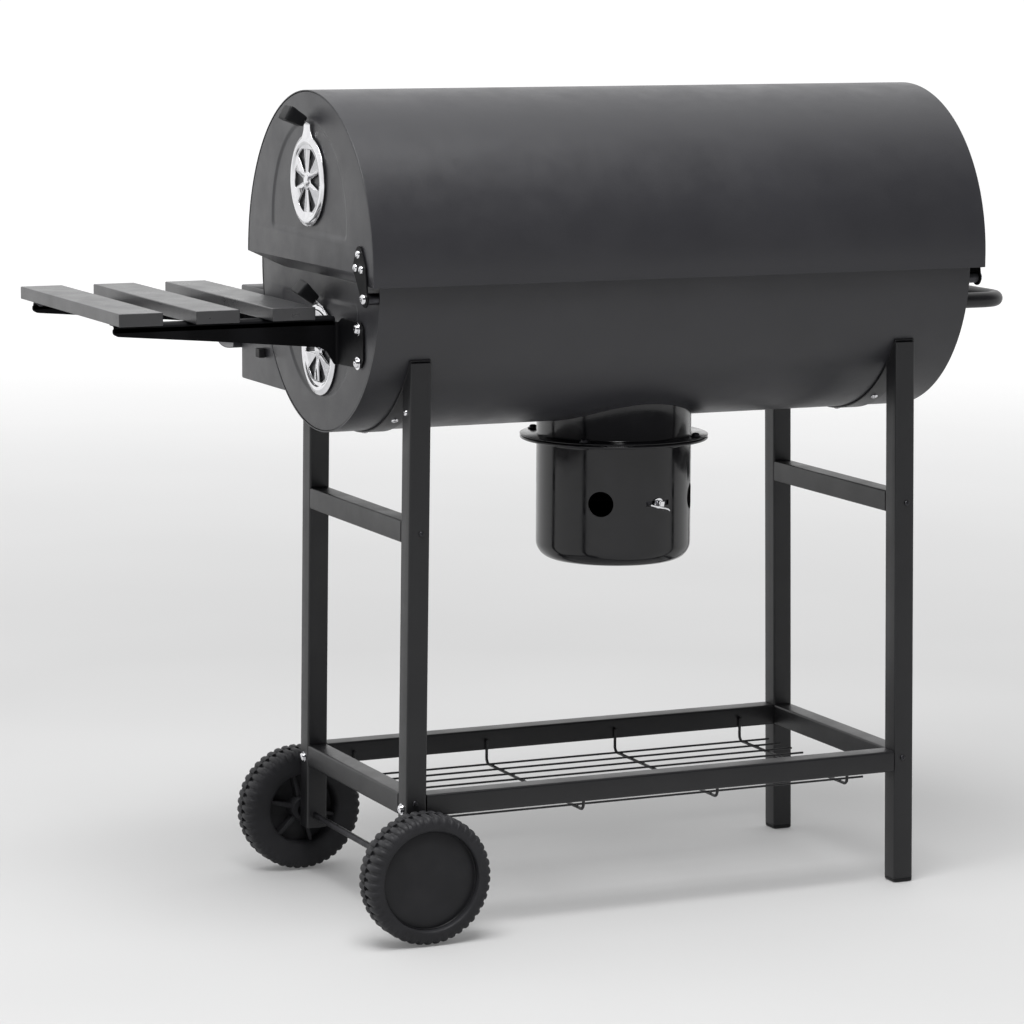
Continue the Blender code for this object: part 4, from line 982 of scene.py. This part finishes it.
def make_frame():
    for end in ("wheel", "stand"):
        for side in ("front", "rear"):
            node = "leg_%s_%s" % (end, side)
            low, high = local_box(node)
            bottom = low.z + (0.0022 if end == "stand" else 0.0)
            leg = tube(node, "z", bottom)
            x = (low.x + high.x) / 2
            cope = rod("x", 0.0, BODY_Z, STRAP_R + STRAP_T + 0.0003, x - 0.05, x + 0.05, 288)
            reshade(carve(leg, "cope", cope), 32.0)
    for end in ("wheel", "stand"):
        for level in ("upper", "lower"):
            tube("%s_crossbar_%s" % (level, end), "y")
    for side in ("front", "rear"):
        tube("rail_" + side, "x")
        low, high = local_box("foot_plug_" + side)
        a, b = (low.x + high.x) / 2, (low.y + high.y) / 2
        half = (high.y - low.y) / 2
        stations = ((0.0, half - 0.0028, 0.003), (0.0006, half - 0.001, 0.0034), (0.0018, half, 0.0036),
                    (0.0046, half, 0.0034), (0.0046, half - 0.0018, 0.002), (high.z, half - 0.0022, 0.002))
        bm = stack("z", [(h, square(a, b, size, corner)) for h, size, corner in stations])
        piece("foot_cap_" + side, bm, PLASTIC, replaces="foot_plug_" + side, sharp=40.0)


def make_straps():
    """Curved straps under the drum, with screws into the drum."""
    for end in ("wheel", "stand"):
        node = "cradle_strap_" + end
        low, high = local_box(node)
        span = degrees(acos(high.y / (STRAP_R + STRAP_T)))
        section = arc(0.0, BODY_Z, STRAP_R + STRAP_T, 180.0 + span, 360.0 - span, 96)
        section += arc(0.0, BODY_Z, STRAP_R, 360.0 - span, 180.0 + span, 96)
        level = (low.z + high.z) / 2
        at = leg_x(end, level)
        band = prism(section, "x", at - HALF_TUBE, at + HALF_TUBE)
        tip(band, node, level)
        soften(piece("strap_" + end, band, FRAME, replaces=node), 0.0005, 2)
        inner = leg_x(end, low.z)
        for y in (-0.09, 0.0, 0.09):
            down = Vector((0.0, y, -sqrt((STRAP_R + STRAP_T) ** 2 - y * y)))
            at = Vector((inner, 0.0, BODY_Z)) + down
            screw("strap_screws_chrome cart", at, down.normalized(), 0.0042, 0.0026, spin=40.0)


make_frame()
make_straps()


# ---------------------------------------------------------------- side shelf
SLAT_EDGE = 0.0011
BEND = 0.0045                        # outside radius of the brackets' folds
PLATE = 0.002                        # bracket sheet
FOOT_Z = 0.644                       # lower edge of the brackets' feet


def make_side_shelf():
    for k in (1, 2, 3):
        block("slat_%d" % k, "shelf_slat_%d" % k, SLAT, SLAT_EDGE, 4)
    for side, inward in (("rear", -1), ("front", 1)):
        make_bracket(side, inward)


def make_bracket(side, inward):
    """Folded bracket: a tapered web, a flange under the slats and a foot on the drum end."""
    node = "shelf_bracket_" + side
    low, high = local_box(node)
    web_y = low.y + (0.016 if side == "rear" else 0.0)
    top, root, tip = high.z, low.x, high.x
    y0, y1 = sorted((web_y, web_y + inward * PLATE))

    # Every part takes the bracket coat, painted shade darker than the frame coat.
    def part(name, outline, axis, start, stop, edge, replaces=""):
        soften(piece("bracket_%s_%s" % (name, side), prism(outline, axis, start, stop), BRACKET_PAINTED_SHADE, replaces=replaces),
               edge, 2)

    def bend(radius, angles):
        return [(web_y + inward * (BEND - radius * cos(radians(a))), top - BEND + radius * sin(radians(a)))
                for a in angles]

    web = [(tip, top - BEND), (tip, 0.6875), (0.637, 0.6846), (0.523, 0.6752), (0.399, 0.664), (0.3905, 0.659),
           (0.385, 0.65), (root + BEND + 0.001, FOOT_Z), (root + BEND, FOOT_Z), (root + BEND, top - BEND)]
    part("web", rounded(web, 0.006, 6), "y", y0, y1, 0.0005, node)
    section = [(web_y, top - 0.01)] + bend(BEND, range(0, 91, 15))
    section += [(web_y + inward * 0.016, top), (web_y + inward * 0.016, top - PLATE)]
    section += bend(BEND - PLATE, range(90, -1, -15)) + [(web_y + inward * PLATE, top - 0.01)]
    part("flange", section, "x", root + BEND, tip - 0.0012, 0.0004)
    foot = [(y0 + BEND, top - 0.006), (y0 + BEND, FOOT_Z), (high.y - 0.01, 0.6462), (high.y - 0.004, 0.65),
            (high.y, 0.656), (high.y, top - 0.008), (high.y - 0.008, top - 0.0008), (y0 + 0.014, top - 0.0008)]
    part("foot", rounded(foot, 0.005, 5), "x", root, root + PLATE, 0.0005)
    turn = (arc(root + BEND, y0 + BEND, BEND, 180.0, 270.0, 8)
            + arc(root + BEND, y0 + BEND, BEND - PLATE, 270.0, 180.0, 8))
    part("fold", turn, "z", FOOT_Z, top - 0.0062, 0.0003)
    for z, spin in ((0.6895, 35.0), (0.6512, 5.0)):
        screw("bracket_bolts_chrome cart", (root + PLATE, high.y - 0.0145, z), X, 0.005, 0.0036, 1.5, spin)
    for number in (1, 2, 3):
        at = middle("shelf_slat_%d" % number)
        for dx in (-0.014, 0.014):
            spot = (at.x + dx, web_y + inward * 0.0095, top - PLATE)
            screw("slat_screws_black cart", spot, -Z, 0.0034, 0.0022, 1.35, 30.0)


make_side_shelf()


# ---------------------------------------------------------------- push handle
def make_push_handle():
    low, high = local_box("push_handle")
    radius = (high.z - low.z) / 2 * 0.0092 / 0.0155
    z = (high.z + low.z) / 2
    reach = low.x + radius
    y = high.y - (high.z - low.z) / 2
    wall = -BODY_HALF - 0.0004
    path = rounded_path([(wall, -y, z), (reach, -y, z), (reach, y, z), (wall, y, z)], 0.032, 14)
    bm = sweep(path, radius, 28)
    for sy in (-1, 1):
        foot = mm((0, 0), (15.2, 0), (15.5, 0.6), (15.2, 2.2), (14, 2.8), (11, 3.2), (0, 3.4))
        bm = merge(bm, aim(-X, (wall, sy * y, z), lathe(foot, steps=48)))
    piece("push_bar", bm, FRAME, replaces="push_handle", sharp=45.0)
    for sy in (-1, 1):
        nut_at = (-BODY_HALF + 0.0018, sy * y, z)
        hex_bolt("handle_nuts_zinc cart", nut_at, X, 0.013, 0.0055, 0.0105)


make_push_handle()


# ---------------------------------------------------------------- wire shelf
WIRE_X = (-0.247, -0.0725, 0.102, 0.2765)          # the stout cross wires


def make_wire_shelf():
    low, high = local_box("wire_shelf")
    thin, stout = 0.0013, 0.0018
    z = low.z + stout
    side = high.y - 0.0008
    bm = None
    for x in WIRE_X:
        hook = high.z - 0.0022
        path = rounded_path([(x, -side, hook), (x, -side, z), (x, side, z), (x, side, hook)], 0.007, 6)
        bm = sweep(path, stout, 12, bm)
        for sy in (-1, 1):
            sweep([(x, sy * (side - 0.004), hook), (x, sy * (side + 0.0005), hook)], stout, 12, bm)
    rail = z + stout + thin * 0.75
    for k in range(-4, 5):
        y = 0.03 * k
        sweep([(low.x, y, rail), (high.x, y, rail)], thin, 10, bm)
        for x in WIRE_X:
            blob = mm((0, -1.4), (1.8, -1), (2.4, 0), (1.8, 1), (0, 1.4))
            bm = merge(bm, aim(Z, (x, y, rail - thin * 0.9), lathe(blob, steps=10)))
    piece("wire_tray", bm, FRAME, replaces="wire_shelf", sharp=50.0)


make_wire_shelf()


# ---------------------------------------------------------------- axle and wheels
axle_low, axle_high = local_box("axle_rod")
AXLE = (axle_low + axle_high) / 2
wheel_low, wheel_high = local_box("wheel_rear")
WHEEL_R = (wheel_high.x - wheel_low.x) / 2
WHEEL_Y = 0.1965                     # middle of a wheel
TREAD_BLOCKS = 45
SHOULDER = ((0.0625, 0.0217), (0.0663, 0.0212), (0.0696, 0.0195), (0.0714, 0.0165), (0.0722, 0.0125),
            (0.072, 0.007), (0.0708, 0.0035), (0.0706, 0.0012))
BLOCK_RISE = (0.0002, 0.0006, 0.0013, 0.002, 0.0023, 0.0024, 0.0034, 0.0034)


def tread(bm, sign, row):
    """One row of rounded blocks that run from the side wall over the shoulder to the middle."""
    pitch = 2 * pi / TREAD_BLOCKS
    offset = 0.0 if row > 0 else pitch / 2
    cross = ((-1.0, 0.0), (-0.86, 0.55), (-0.45, 0.95), (0.0, 1.0), (0.45, 0.95), (0.86, 0.55), (1.0, 0.0))
    for k in range(TREAD_BLOCKS):
        a0 = pitch * k + offset
        rings = []
        for (r, h), rise in zip(SHOULDER, BLOCK_RISE):
            half = pitch * (0.34 if h > 0.019 else 0.4)
            ring = []
            for u, v in cross:
                a = a0 + half * u
                radius = min(r - 0.0004 + (rise + 0.0004) * v, WHEEL_R)
                lean = row * (h + 0.35 * rise * v * (1.0 if h > 0.017 else 0.0))
                ring.append(bm.verts.new((AXLE.x + radius * cos(a), sign * WHEEL_Y + lean * sign,
                                          AXLE.z + radius * sin(a))))
            rings.append(ring)
        ring_strip(bm, rings)
        for ring in (rings[0], rings[-1]):
            bm.faces.new(ring)


def wheel(side, sign):
    """Moulded wheel: knobbed tyre, recessed face, six ribs and a hub inside."""
    centre = (AXLE.x, AXLE.z)
    at = sign * WHEEL_Y
    body = side + "_wheel"
    base = mm((57.2, 10), (57.2, 19.6), (57.9, 20.8), (59.2, 21.6), (61.2, 21.8))
    inner_wall = [(r, -h) for r, h in reversed(SHOULDER)]
    tyre = base + list(SHOULDER) + inner_wall
    tyre += mm((61.2, -21.8), (52, -21.4), (45.5, -20.4), (43.2, -18.6), (42.4, -15), (41.6, -1.6), (17, -1.6),
               (15.8, -4), (15.2, -17), (14, -18.6), (4.4, -18.6), (4.4, 10))
    bm = lathe([(r, at + sign * h) for r, h in tyre], "y", centre, 176)
    for row in (1, -1):
        tread(bm, sign, row)
    piece("tyre_" + side, bm, TYRE, body, "wheel_" + side, sharp=46.0)
    ribs = bmesh.new()
    for k in range(6):
        a = radians(60.0 * k + 15.0)
        outline = mm((14.5, -3), (43, -2.2), (43, 2.2), (14.5, 3))
        points = [(AXLE.x + u * cos(a) - v * sin(a), AXLE.z + u * sin(a) + v * cos(a)) for u, v in outline]
        y0, y1 = sorted((at - sign * 0.001, at - sign * 0.013))
        prism(points, "y", y0, y1, ribs)
    soften(piece("wheel_ribs_" + side, ribs, TYRE, body), 0.001, 3)
    face = at + sign * 0.012
    cover = mm((0, 1.8), (20, 1.7), (40, 1.5), (54, 1.2), (55.6, 0.6), (56.3, 1.2), (56.8, 0.6), (57, 0), (57, -1.2),
               (0, -1.2))
    piece("wheel_cover_" + side, lathe([(r, face + sign * h) for r, h in cover], "y", centre, 128), WHEEL_FACE, body,
          "wheel_cap_" + side, sharp=40.0)


def make_axle():
    half = (axle_high.y - axle_low.y) / 2
    r = (axle_high.x - axle_low.x) / 2
    profile = [(0.0, -half), (r * 0.8, -half), (r, -half + 0.001), (r, half - 0.001), (r * 0.8, half), (0.0, half)]
    bm = lathe(profile, "y", (AXLE.x, AXLE.z), 32)
    for sy in (-1, 1):
        at = sy * 0.17
        ring = [(r, at - 0.0009), (0.011, at - 0.0009), (0.011, at + 0.0009), (r, at + 0.0009)]
        lathe(ring, "y", (AXLE.x, AXLE.z), 32, bm)
    piece("axle", bm, BLACK_ZINC, replaces="axle_rod")


make_axle()
wheel("front", -1)
wheel("rear", 1)


# ---------------------------------------------------------------- ash collar, pot and damper
pot_low, pot_high = local_box("ash_pot")
FLANGE_R = pot_high.x
POT_R = 0.092
POT_WALL = 0.0013
HOLE_ANGLES = (55.0, 145.0, 235.0, 325.0)
HOLE_R = 0.015
CLIP_ANGLE = 99.0
HOLE_Z = middle("damper_clip").z


def radial(angle, z, bm):
    """Turn a bmesh built along +Z to point outwards from the pot's axis."""
    a = radians(angle)
    return aim((cos(a), sin(a), 0.0), (0.0, 0.0, z), bm)


def bore(obj):
    """Cut the four air holes."""
    for k, angle in enumerate(HOLE_ANGLES):
        carve(obj, "air_%d" % k, radial(angle, HOLE_Z, rod("z", 0.0, 0.0, HOLE_R, 0.07, 0.12, 48)))
    return obj


def make_collar():
    z = local_box("ash_collar")[0].z
    profile = [(POT_R - POT_WALL, z + 0.0002), (FLANGE_R - 0.0012, z + 0.0002), (FLANGE_R - 0.0002, z + 0.0005),
               (FLANGE_R, z + 0.001), (FLANGE_R - 0.0002, z + 0.0015), (FLANGE_R - 0.0012, z + 0.0018),
               (POT_R + 0.003, z + 0.0018), (POT_R + 0.0012, z + 0.0024), (POT_R, z + 0.0044), (POT_R, 0.6),
               (POT_R - POT_WALL, 0.6)]
    collar = piece("collar", lathe(profile, steps=144), ENAMEL, replaces="ash_collar")
    carve(collar, "cope", rod("x", 0.0, BODY_Z, BODY_R + 0.0002, -0.3, 0.3, 288))
    reshade(collar)
    bolt_circle = 0.1022
    for k in range(4):
        a = radians(45.0 + 90.0 * k)
        spot = (bolt_circle * cos(a), bolt_circle * sin(a), z + 0.0018)
        screw("collar_screws_black cart", spot, Z, 0.0046, 0.0034, 1.4, 20.0 + 50.0 * k)


def make_pot():
    z0 = pot_low.z
    brim = pot_high.z
    base = arc(POT_R - 0.02, z0 + 0.02, 0.02, -90.0, 0.0, 12)
    inside = arc(POT_R - 0.02, z0 + 0.02, 0.02 - POT_WALL, 0.0, -90.0, 12)
    roll = arc(FLANGE_R - 0.0019, brim - 0.0019, 0.0019, -90.0, 90.0, 12)
    profile = [(0.0, z0 + 0.003), (0.054, z0 + 0.003), (0.0575, z0 + 0.0024), (0.0605, z0 + 0.0004)]
    profile += base + [(POT_R, brim - 0.0086), (POT_R + 0.0006, brim - 0.0056), (POT_R + 0.0024, brim - 0.0038)]
    profile += roll + [(POT_R + 0.0006, brim), (POT_R - POT_WALL, brim - 0.0014)] + inside
    profile += [(0.06, z0 + 0.0004 + POT_WALL), (0.0565, z0 + 0.0024 + POT_WALL), (0.0535, z0 + 0.003 + POT_WALL),
                (0.0, z0 + 0.003 + POT_WALL)]
    pot = piece("pot", lathe(profile, steps=144), ENAMEL, "ash_cup", "ash_pot")
    bore(pot)
    slot = arc(0.0, 0.0, 0.1, CLIP_ANGLE - 10.0, CLIP_ANGLE + 10.0, 12)
    slot += arc(0.0, 0.0, 0.08, CLIP_ANGLE + 10.0, CLIP_ANGLE - 10.0, 12)
    carve(pot, "slot", prism(slot, "z", HOLE_Z - 0.003, HOLE_Z + 0.003))
    reshade(pot)
    band_r = POT_R - POT_WALL - 0.0008
    band = [(band_r - 0.0008, HOLE_Z - 0.022), (band_r, HOLE_Z - 0.022), (band_r, HOLE_Z + 0.022),
            (band_r - 0.0008, HOLE_Z + 0.022)]
    ring = piece("damper_band", lathe(band, steps=144), BLACK_ZINC, "ash_damper", "ash_damper_band")
    reshade(bore(ring))


def make_clip():
    """Square-headed bolt with a bent tab that slides the damper band."""
    back = POT_R - POT_WALL - 0.003
    stem = [(0.0, back), (0.0042, back), (0.0042, back + 0.0014), (0.0022, back + 0.0014),
            (0.0022, POT_R + 0.0006), (0.006, POT_R + 0.0006), (0.0062, POT_R + 0.001), (0.006, POT_R + 0.0017),
            (0.0022, POT_R + 0.0017), (0.0022, POT_R + 0.003), (0.0, POT_R + 0.003)]
    bm = lathe(stem, steps=32)
    head = mm((3, 3), (3.4, 3.3), (3.4, 7.8), (2.8, 8.6))
    stack("z", [(POT_R + h, square(0.0, 0.0, size, 0.0005, 3)) for size, h in head], bm)
    path = mm((-14, 7.2), (-12, 5.8), (-8, 5), (-3, 4.8), (3, 4.4), (9, 3.8), (14.2, 3))
    outer = [(x, y + 0.0008) for x, y in path]
    inner = [(x, y - 0.0008) for x, y in reversed(path)]
    bm = merge(bm, prism(rounded(outer + inner, 0.0004, 2), "z", POT_R + 0.0018, POT_R + 0.0062))
    piece("damper_tab", radial(CLIP_ANGLE, HOLE_Z, bm), CHROME, "ash_damper", "damper_clip", sharp=40.0)


make_collar()
make_pot()
make_clip()


# ---------------------------------------------------------------- charcoal box and door
DOOR_HINGE = middle("door_hinge_rod")


def make_charcoal_box():
    low, high = local_box("charcoal_box")
    front = -0.255
    bm = box(low.x, high.x, front, -0.06, low.z, high.z)
    shell = soften(piece("coal_box", bm, COAT, replaces="charcoal_box"), 0.0022, 4)
    carve(shell, "inside", box(low.x + SHEET, high.x - SHEET, front + SHEET, 0.0, low.z + SHEET, high.z - SHEET))
    carve(shell, "cope", rod("x", 0.0, BODY_Z, BODY_R + 0.0002, -0.5, 0.5, 288))
    carve(shell, "opening", box(-0.35, 0.35, front - 0.02, front + 0.02, 0.64, 0.693))
    passes = bmesh.new()
    for node in ("cradle_strap_wheel", "cradle_strap_stand"):
        strap_lo, strap_hi = local_box(node)
        box(strap_lo.x - 0.001, strap_hi.x + 0.001, -0.1655, -0.08, low.z - 0.01, low.z + 0.01, passes)
    carve(shell, "passes", passes)
    reshade(shell, 32.0)
    hinge_y, hinge_z = DOOR_HINGE.y, DOOR_HINGE.z
    lugs = bmesh.new()
    for x in (-0.325, -0.18, 0.0, 0.18, 0.325):
        tab = [(front + 0.0006, hinge_z - 0.0034), (front + 0.0006, hinge_z + 0.0034)]
        tab += arc(hinge_y, hinge_z, 0.0034, 90.0, 270.0, 14)
        prism(tab, "x", x - 0.004, x + 0.004, lugs)
    soften(piece("coal_box_lugs", lugs, COAT), 0.0005, 2)
    piece("door_rod", sweep([(-0.335, hinge_y, hinge_z), (0.335, hinge_y, hinge_z)], 0.002, 24), BLACK_ZINC,
          replaces="door_hinge_rod")


def make_door():
    low, high = local_box("charcoal_door")
    y = DOOR_HINGE.y
    out = low.y
    top, fold, lip_low = 0.6985, 0.6345, 0.6282
    lip = []
    steps = 14
    for k in range(steps + 1):
        t = k / steps
        across = y - 0.0052 + (out + 0.0014 - (y - 0.0052)) * t
        lip.append((across, lip_low + 0.0024 * (1 - t) ** 3 + 0.0046 * t ** 4))
    over = [(a, b + 0.0014) for a, b in reversed(lip)]
    section = [(y + 0.0008, top), (y + 0.0008, 0.6335), (y - 0.001, 0.6312)] + lip + over
    section += [(y - 0.0022, 0.6322), (y - 0.0008, fold), (y - 0.0008, top)]
    leaf = piece("coal_door", prism(section, "x", low.x, high.x), COAT, "coal_door", "charcoal_door", sharp=30.0)
    soften(leaf, 0.0003, 2)
    knuckles = bmesh.new()
    for k in range(4):
        x = -0.27 + 0.18 * k
        ring = [(0.0024, x - 0.018), (0.004, x - 0.018), (0.0042, x - 0.0175), (0.0042, x + 0.0175),
                (0.004, x + 0.018), (0.0024, x + 0.018)]
        lathe(ring, "x", (y, DOOR_HINGE.z), 32, knuckles)
    piece("coal_door_knuckles", knuckles, COAT, "coal_door")


make_charcoal_box()
make_door()
block("block", "bracket_block", PLASTIC, 0.0012, 3)


# ---------------------------------------------------------------- grates and ledges
BAR_CROWN = ((-0.82, 0.0), (0.82, 0.0), (1.0, 0.3), (1.0, 0.65), (0.6, 0.95), (0.0, 1.0), (-0.6, 0.95),
             (-1.0, 0.65), (-1.0, 0.3))


def grate(name, node, body, bars, ribs, width):
    """Cast grate: rounded bars on a frame, with cross ribs underneath."""
    low, high = local_box(node)
    rise = high.z - low.z - 0.0002
    bm = bmesh.new()
    pitch = (high.x - low.x - width) / bars
    for k in range(bars + 1):
        x = low.x + width / 2 + pitch * k
        prism([(x + width / 2 * u, low.z + 0.0002 + rise * v) for u, v in BAR_CROWN], "y", low.y, high.y, bm)
    for k in range(ribs):
        y = low.y + 0.0045 + (high.y - low.y - 0.009) * k / (ribs - 1)
        crown = [(y - 0.0042, low.z), (y + 0.0042, low.z), (y + 0.0042, high.z - 0.0014),
                 (y + 0.002, high.z - 0.0004), (y - 0.002, high.z - 0.0004), (y - 0.0042, high.z - 0.0014)]
        prism(crown, "x", low.x, high.x, bm)
    piece(name, bm, IRON, body, node, sharp=50.0)


grate("grill_grate_a", "cooking_grate_wheel_side", "cooking_grate_a", 18, 3, 0.0075)
grate("grill_grate_b", "cooking_grate_handle_side", "cooking_grate_b", 18, 3, 0.0075)
grate("coal_bars", "charcoal_grate", "coal_grate", 24, 4, 0.0105)
for side in ("front", "rear"):
    block("ledge_" + side, "grate_ledge_" + side, ZINC, 0.0004, 2)

# ---------------------------------------------------------------- frame bolts
LEG_Y = middle("leg_wheel_rear").y
RAIL_Z = middle("rail_rear").z
BAR_Z = middle("upper_crossbar_wheel").z
for end, outward in (("wheel", 1), ("stand", -1)):
    for sign_y in (-1, 1):
        def on_end(z):
            return (leg_x(end, z) + outward * HALF_TUBE, sign_y * LEG_Y, z)

        def on_side(dx, z):
            return (leg_x(end, z) + dx, sign_y * (LEG_Y + HALF_TUBE), z)

        spin = 20.0 if end == "wheel" else 50.0
        screw("frame_bolts_chrome cart", on_end(RAIL_Z - 0.004), X * outward, 0.005, 0.0034, 1.35, spin)
        screw("leg_screws_chrome cart", on_end(0.597), X * outward, 0.0036, 0.0026, 0.0, spin + 5.0)
        screw("frame_bolts_black cart", on_side(0.002, RAIL_Z + 0.004), Y * sign_y, 0.0032, 0.0022, 0.0, 15.0)
        screw("frame_bolts_black cart", on_side(-0.002, BAR_Z), Y * sign_y, 0.0032, 0.0022, 0.0, 65.0)

FINISH = {"chrome": CHROME, "zinc": ZINC, "black": BLACK_ZINC}
for group, made in fasteners.items():
    title, body = group.split(" ")
    piece(title, merge(*made), FINISH[title.rsplit("_", 1)[1]], body, sharp=40.0)


# ---------------------------------------------------------------- studio
WHITE = (1.0, 1.0, 1.0, 1.0)
SKY_DIM = (0.13, 0.13, 0.135, 1.0)
FLOOR_RADIUS = 14.0


def make_floor():
    """Pale paper floor with a painted glow that grows towards the horizon, so that it stays bright there."""
    mesh = bpy.data.meshes.new("floor")
    bm = bmesh.new()
    bmesh.ops.create_circle(bm, cap_ends=True, segments=96, radius=FLOOR_RADIUS)
    bm.to_mesh(mesh)
    bm.free()
    look = Look("floor_paper", (0.45, 0.45, 0.45), 0.85, Emission_Color=WHITE)
    look.tint(look.noise(1.2, 2.0), (0.35, 0.44 / 0.45), (0.65, 0.46 / 0.45))
    away = look.tree.nodes.new("ShaderNodeVectorMath")
    away.operation = "LENGTH"
    look.tree.links.new(look.where, away.inputs[0])
    # Painted light: the floor glows, weakly near the middle and more strongly towards the horizon.
    look.feed("Emission Strength", look.span(away.outputs["Value"], 0.12, 0.7, 1.5, 6.0))
    mesh.materials.append(look.mat)
    place(bpy.data.objects.new("floor", mesh))


def make_sky():
    """Studio light that is white from the camera's far side and dims towards the near side."""
    world = bpy.data.worlds.new("studio")
    world.use_nodes = True
    bpy.context.scene.world = world
    tree = world.node_tree
    split = node(tree, "SeparateXYZ", "Y", Vector=node(tree, "TexCoord", "Generated"))
    across = tree.nodes.new("ShaderNodeMath")
    across.operation = "MULTIPLY_ADD"
    across.inputs[1].default_value = 0.5
    across.inputs[2].default_value = 0.5
    tree.links.new(split, across.inputs[0])
    colour = node(tree, "ValToRGB", "Color", Fac=across.outputs["Value"])
    for stop, (at, shade) in zip(colour.node.color_ramp.elements, ((0.4, WHITE), (0.66, SKY_DIM))):
        stop.position, stop.color = at, shade
    background = tree.nodes["Background"].inputs
    tree.links.new(colour, background["Color"])
    background["Strength"].default_value = 1.05


def make_key_light():
    """Large soft light above the grill, a little towards the camera."""
    data = bpy.data.lights.new("key", "AREA")
    data.shape = "RECTANGLE"
    data.size = data.size_y = 2.4
    data.energy = 185.0
    lamp = place(bpy.data.objects.new("key", data))
    lamp.location = (0.8, 1.1, 3.9)
    lamp.rotation_mode = "QUATERNION"
    lamp.rotation_quaternion = (Vector((0.0, 0.0, 0.8)) - lamp.location).to_track_quat("-Z", "Y")


make_floor()
make_sky()
make_key_light()
bpy.context.scene.view_settings.view_transform = "Standard"
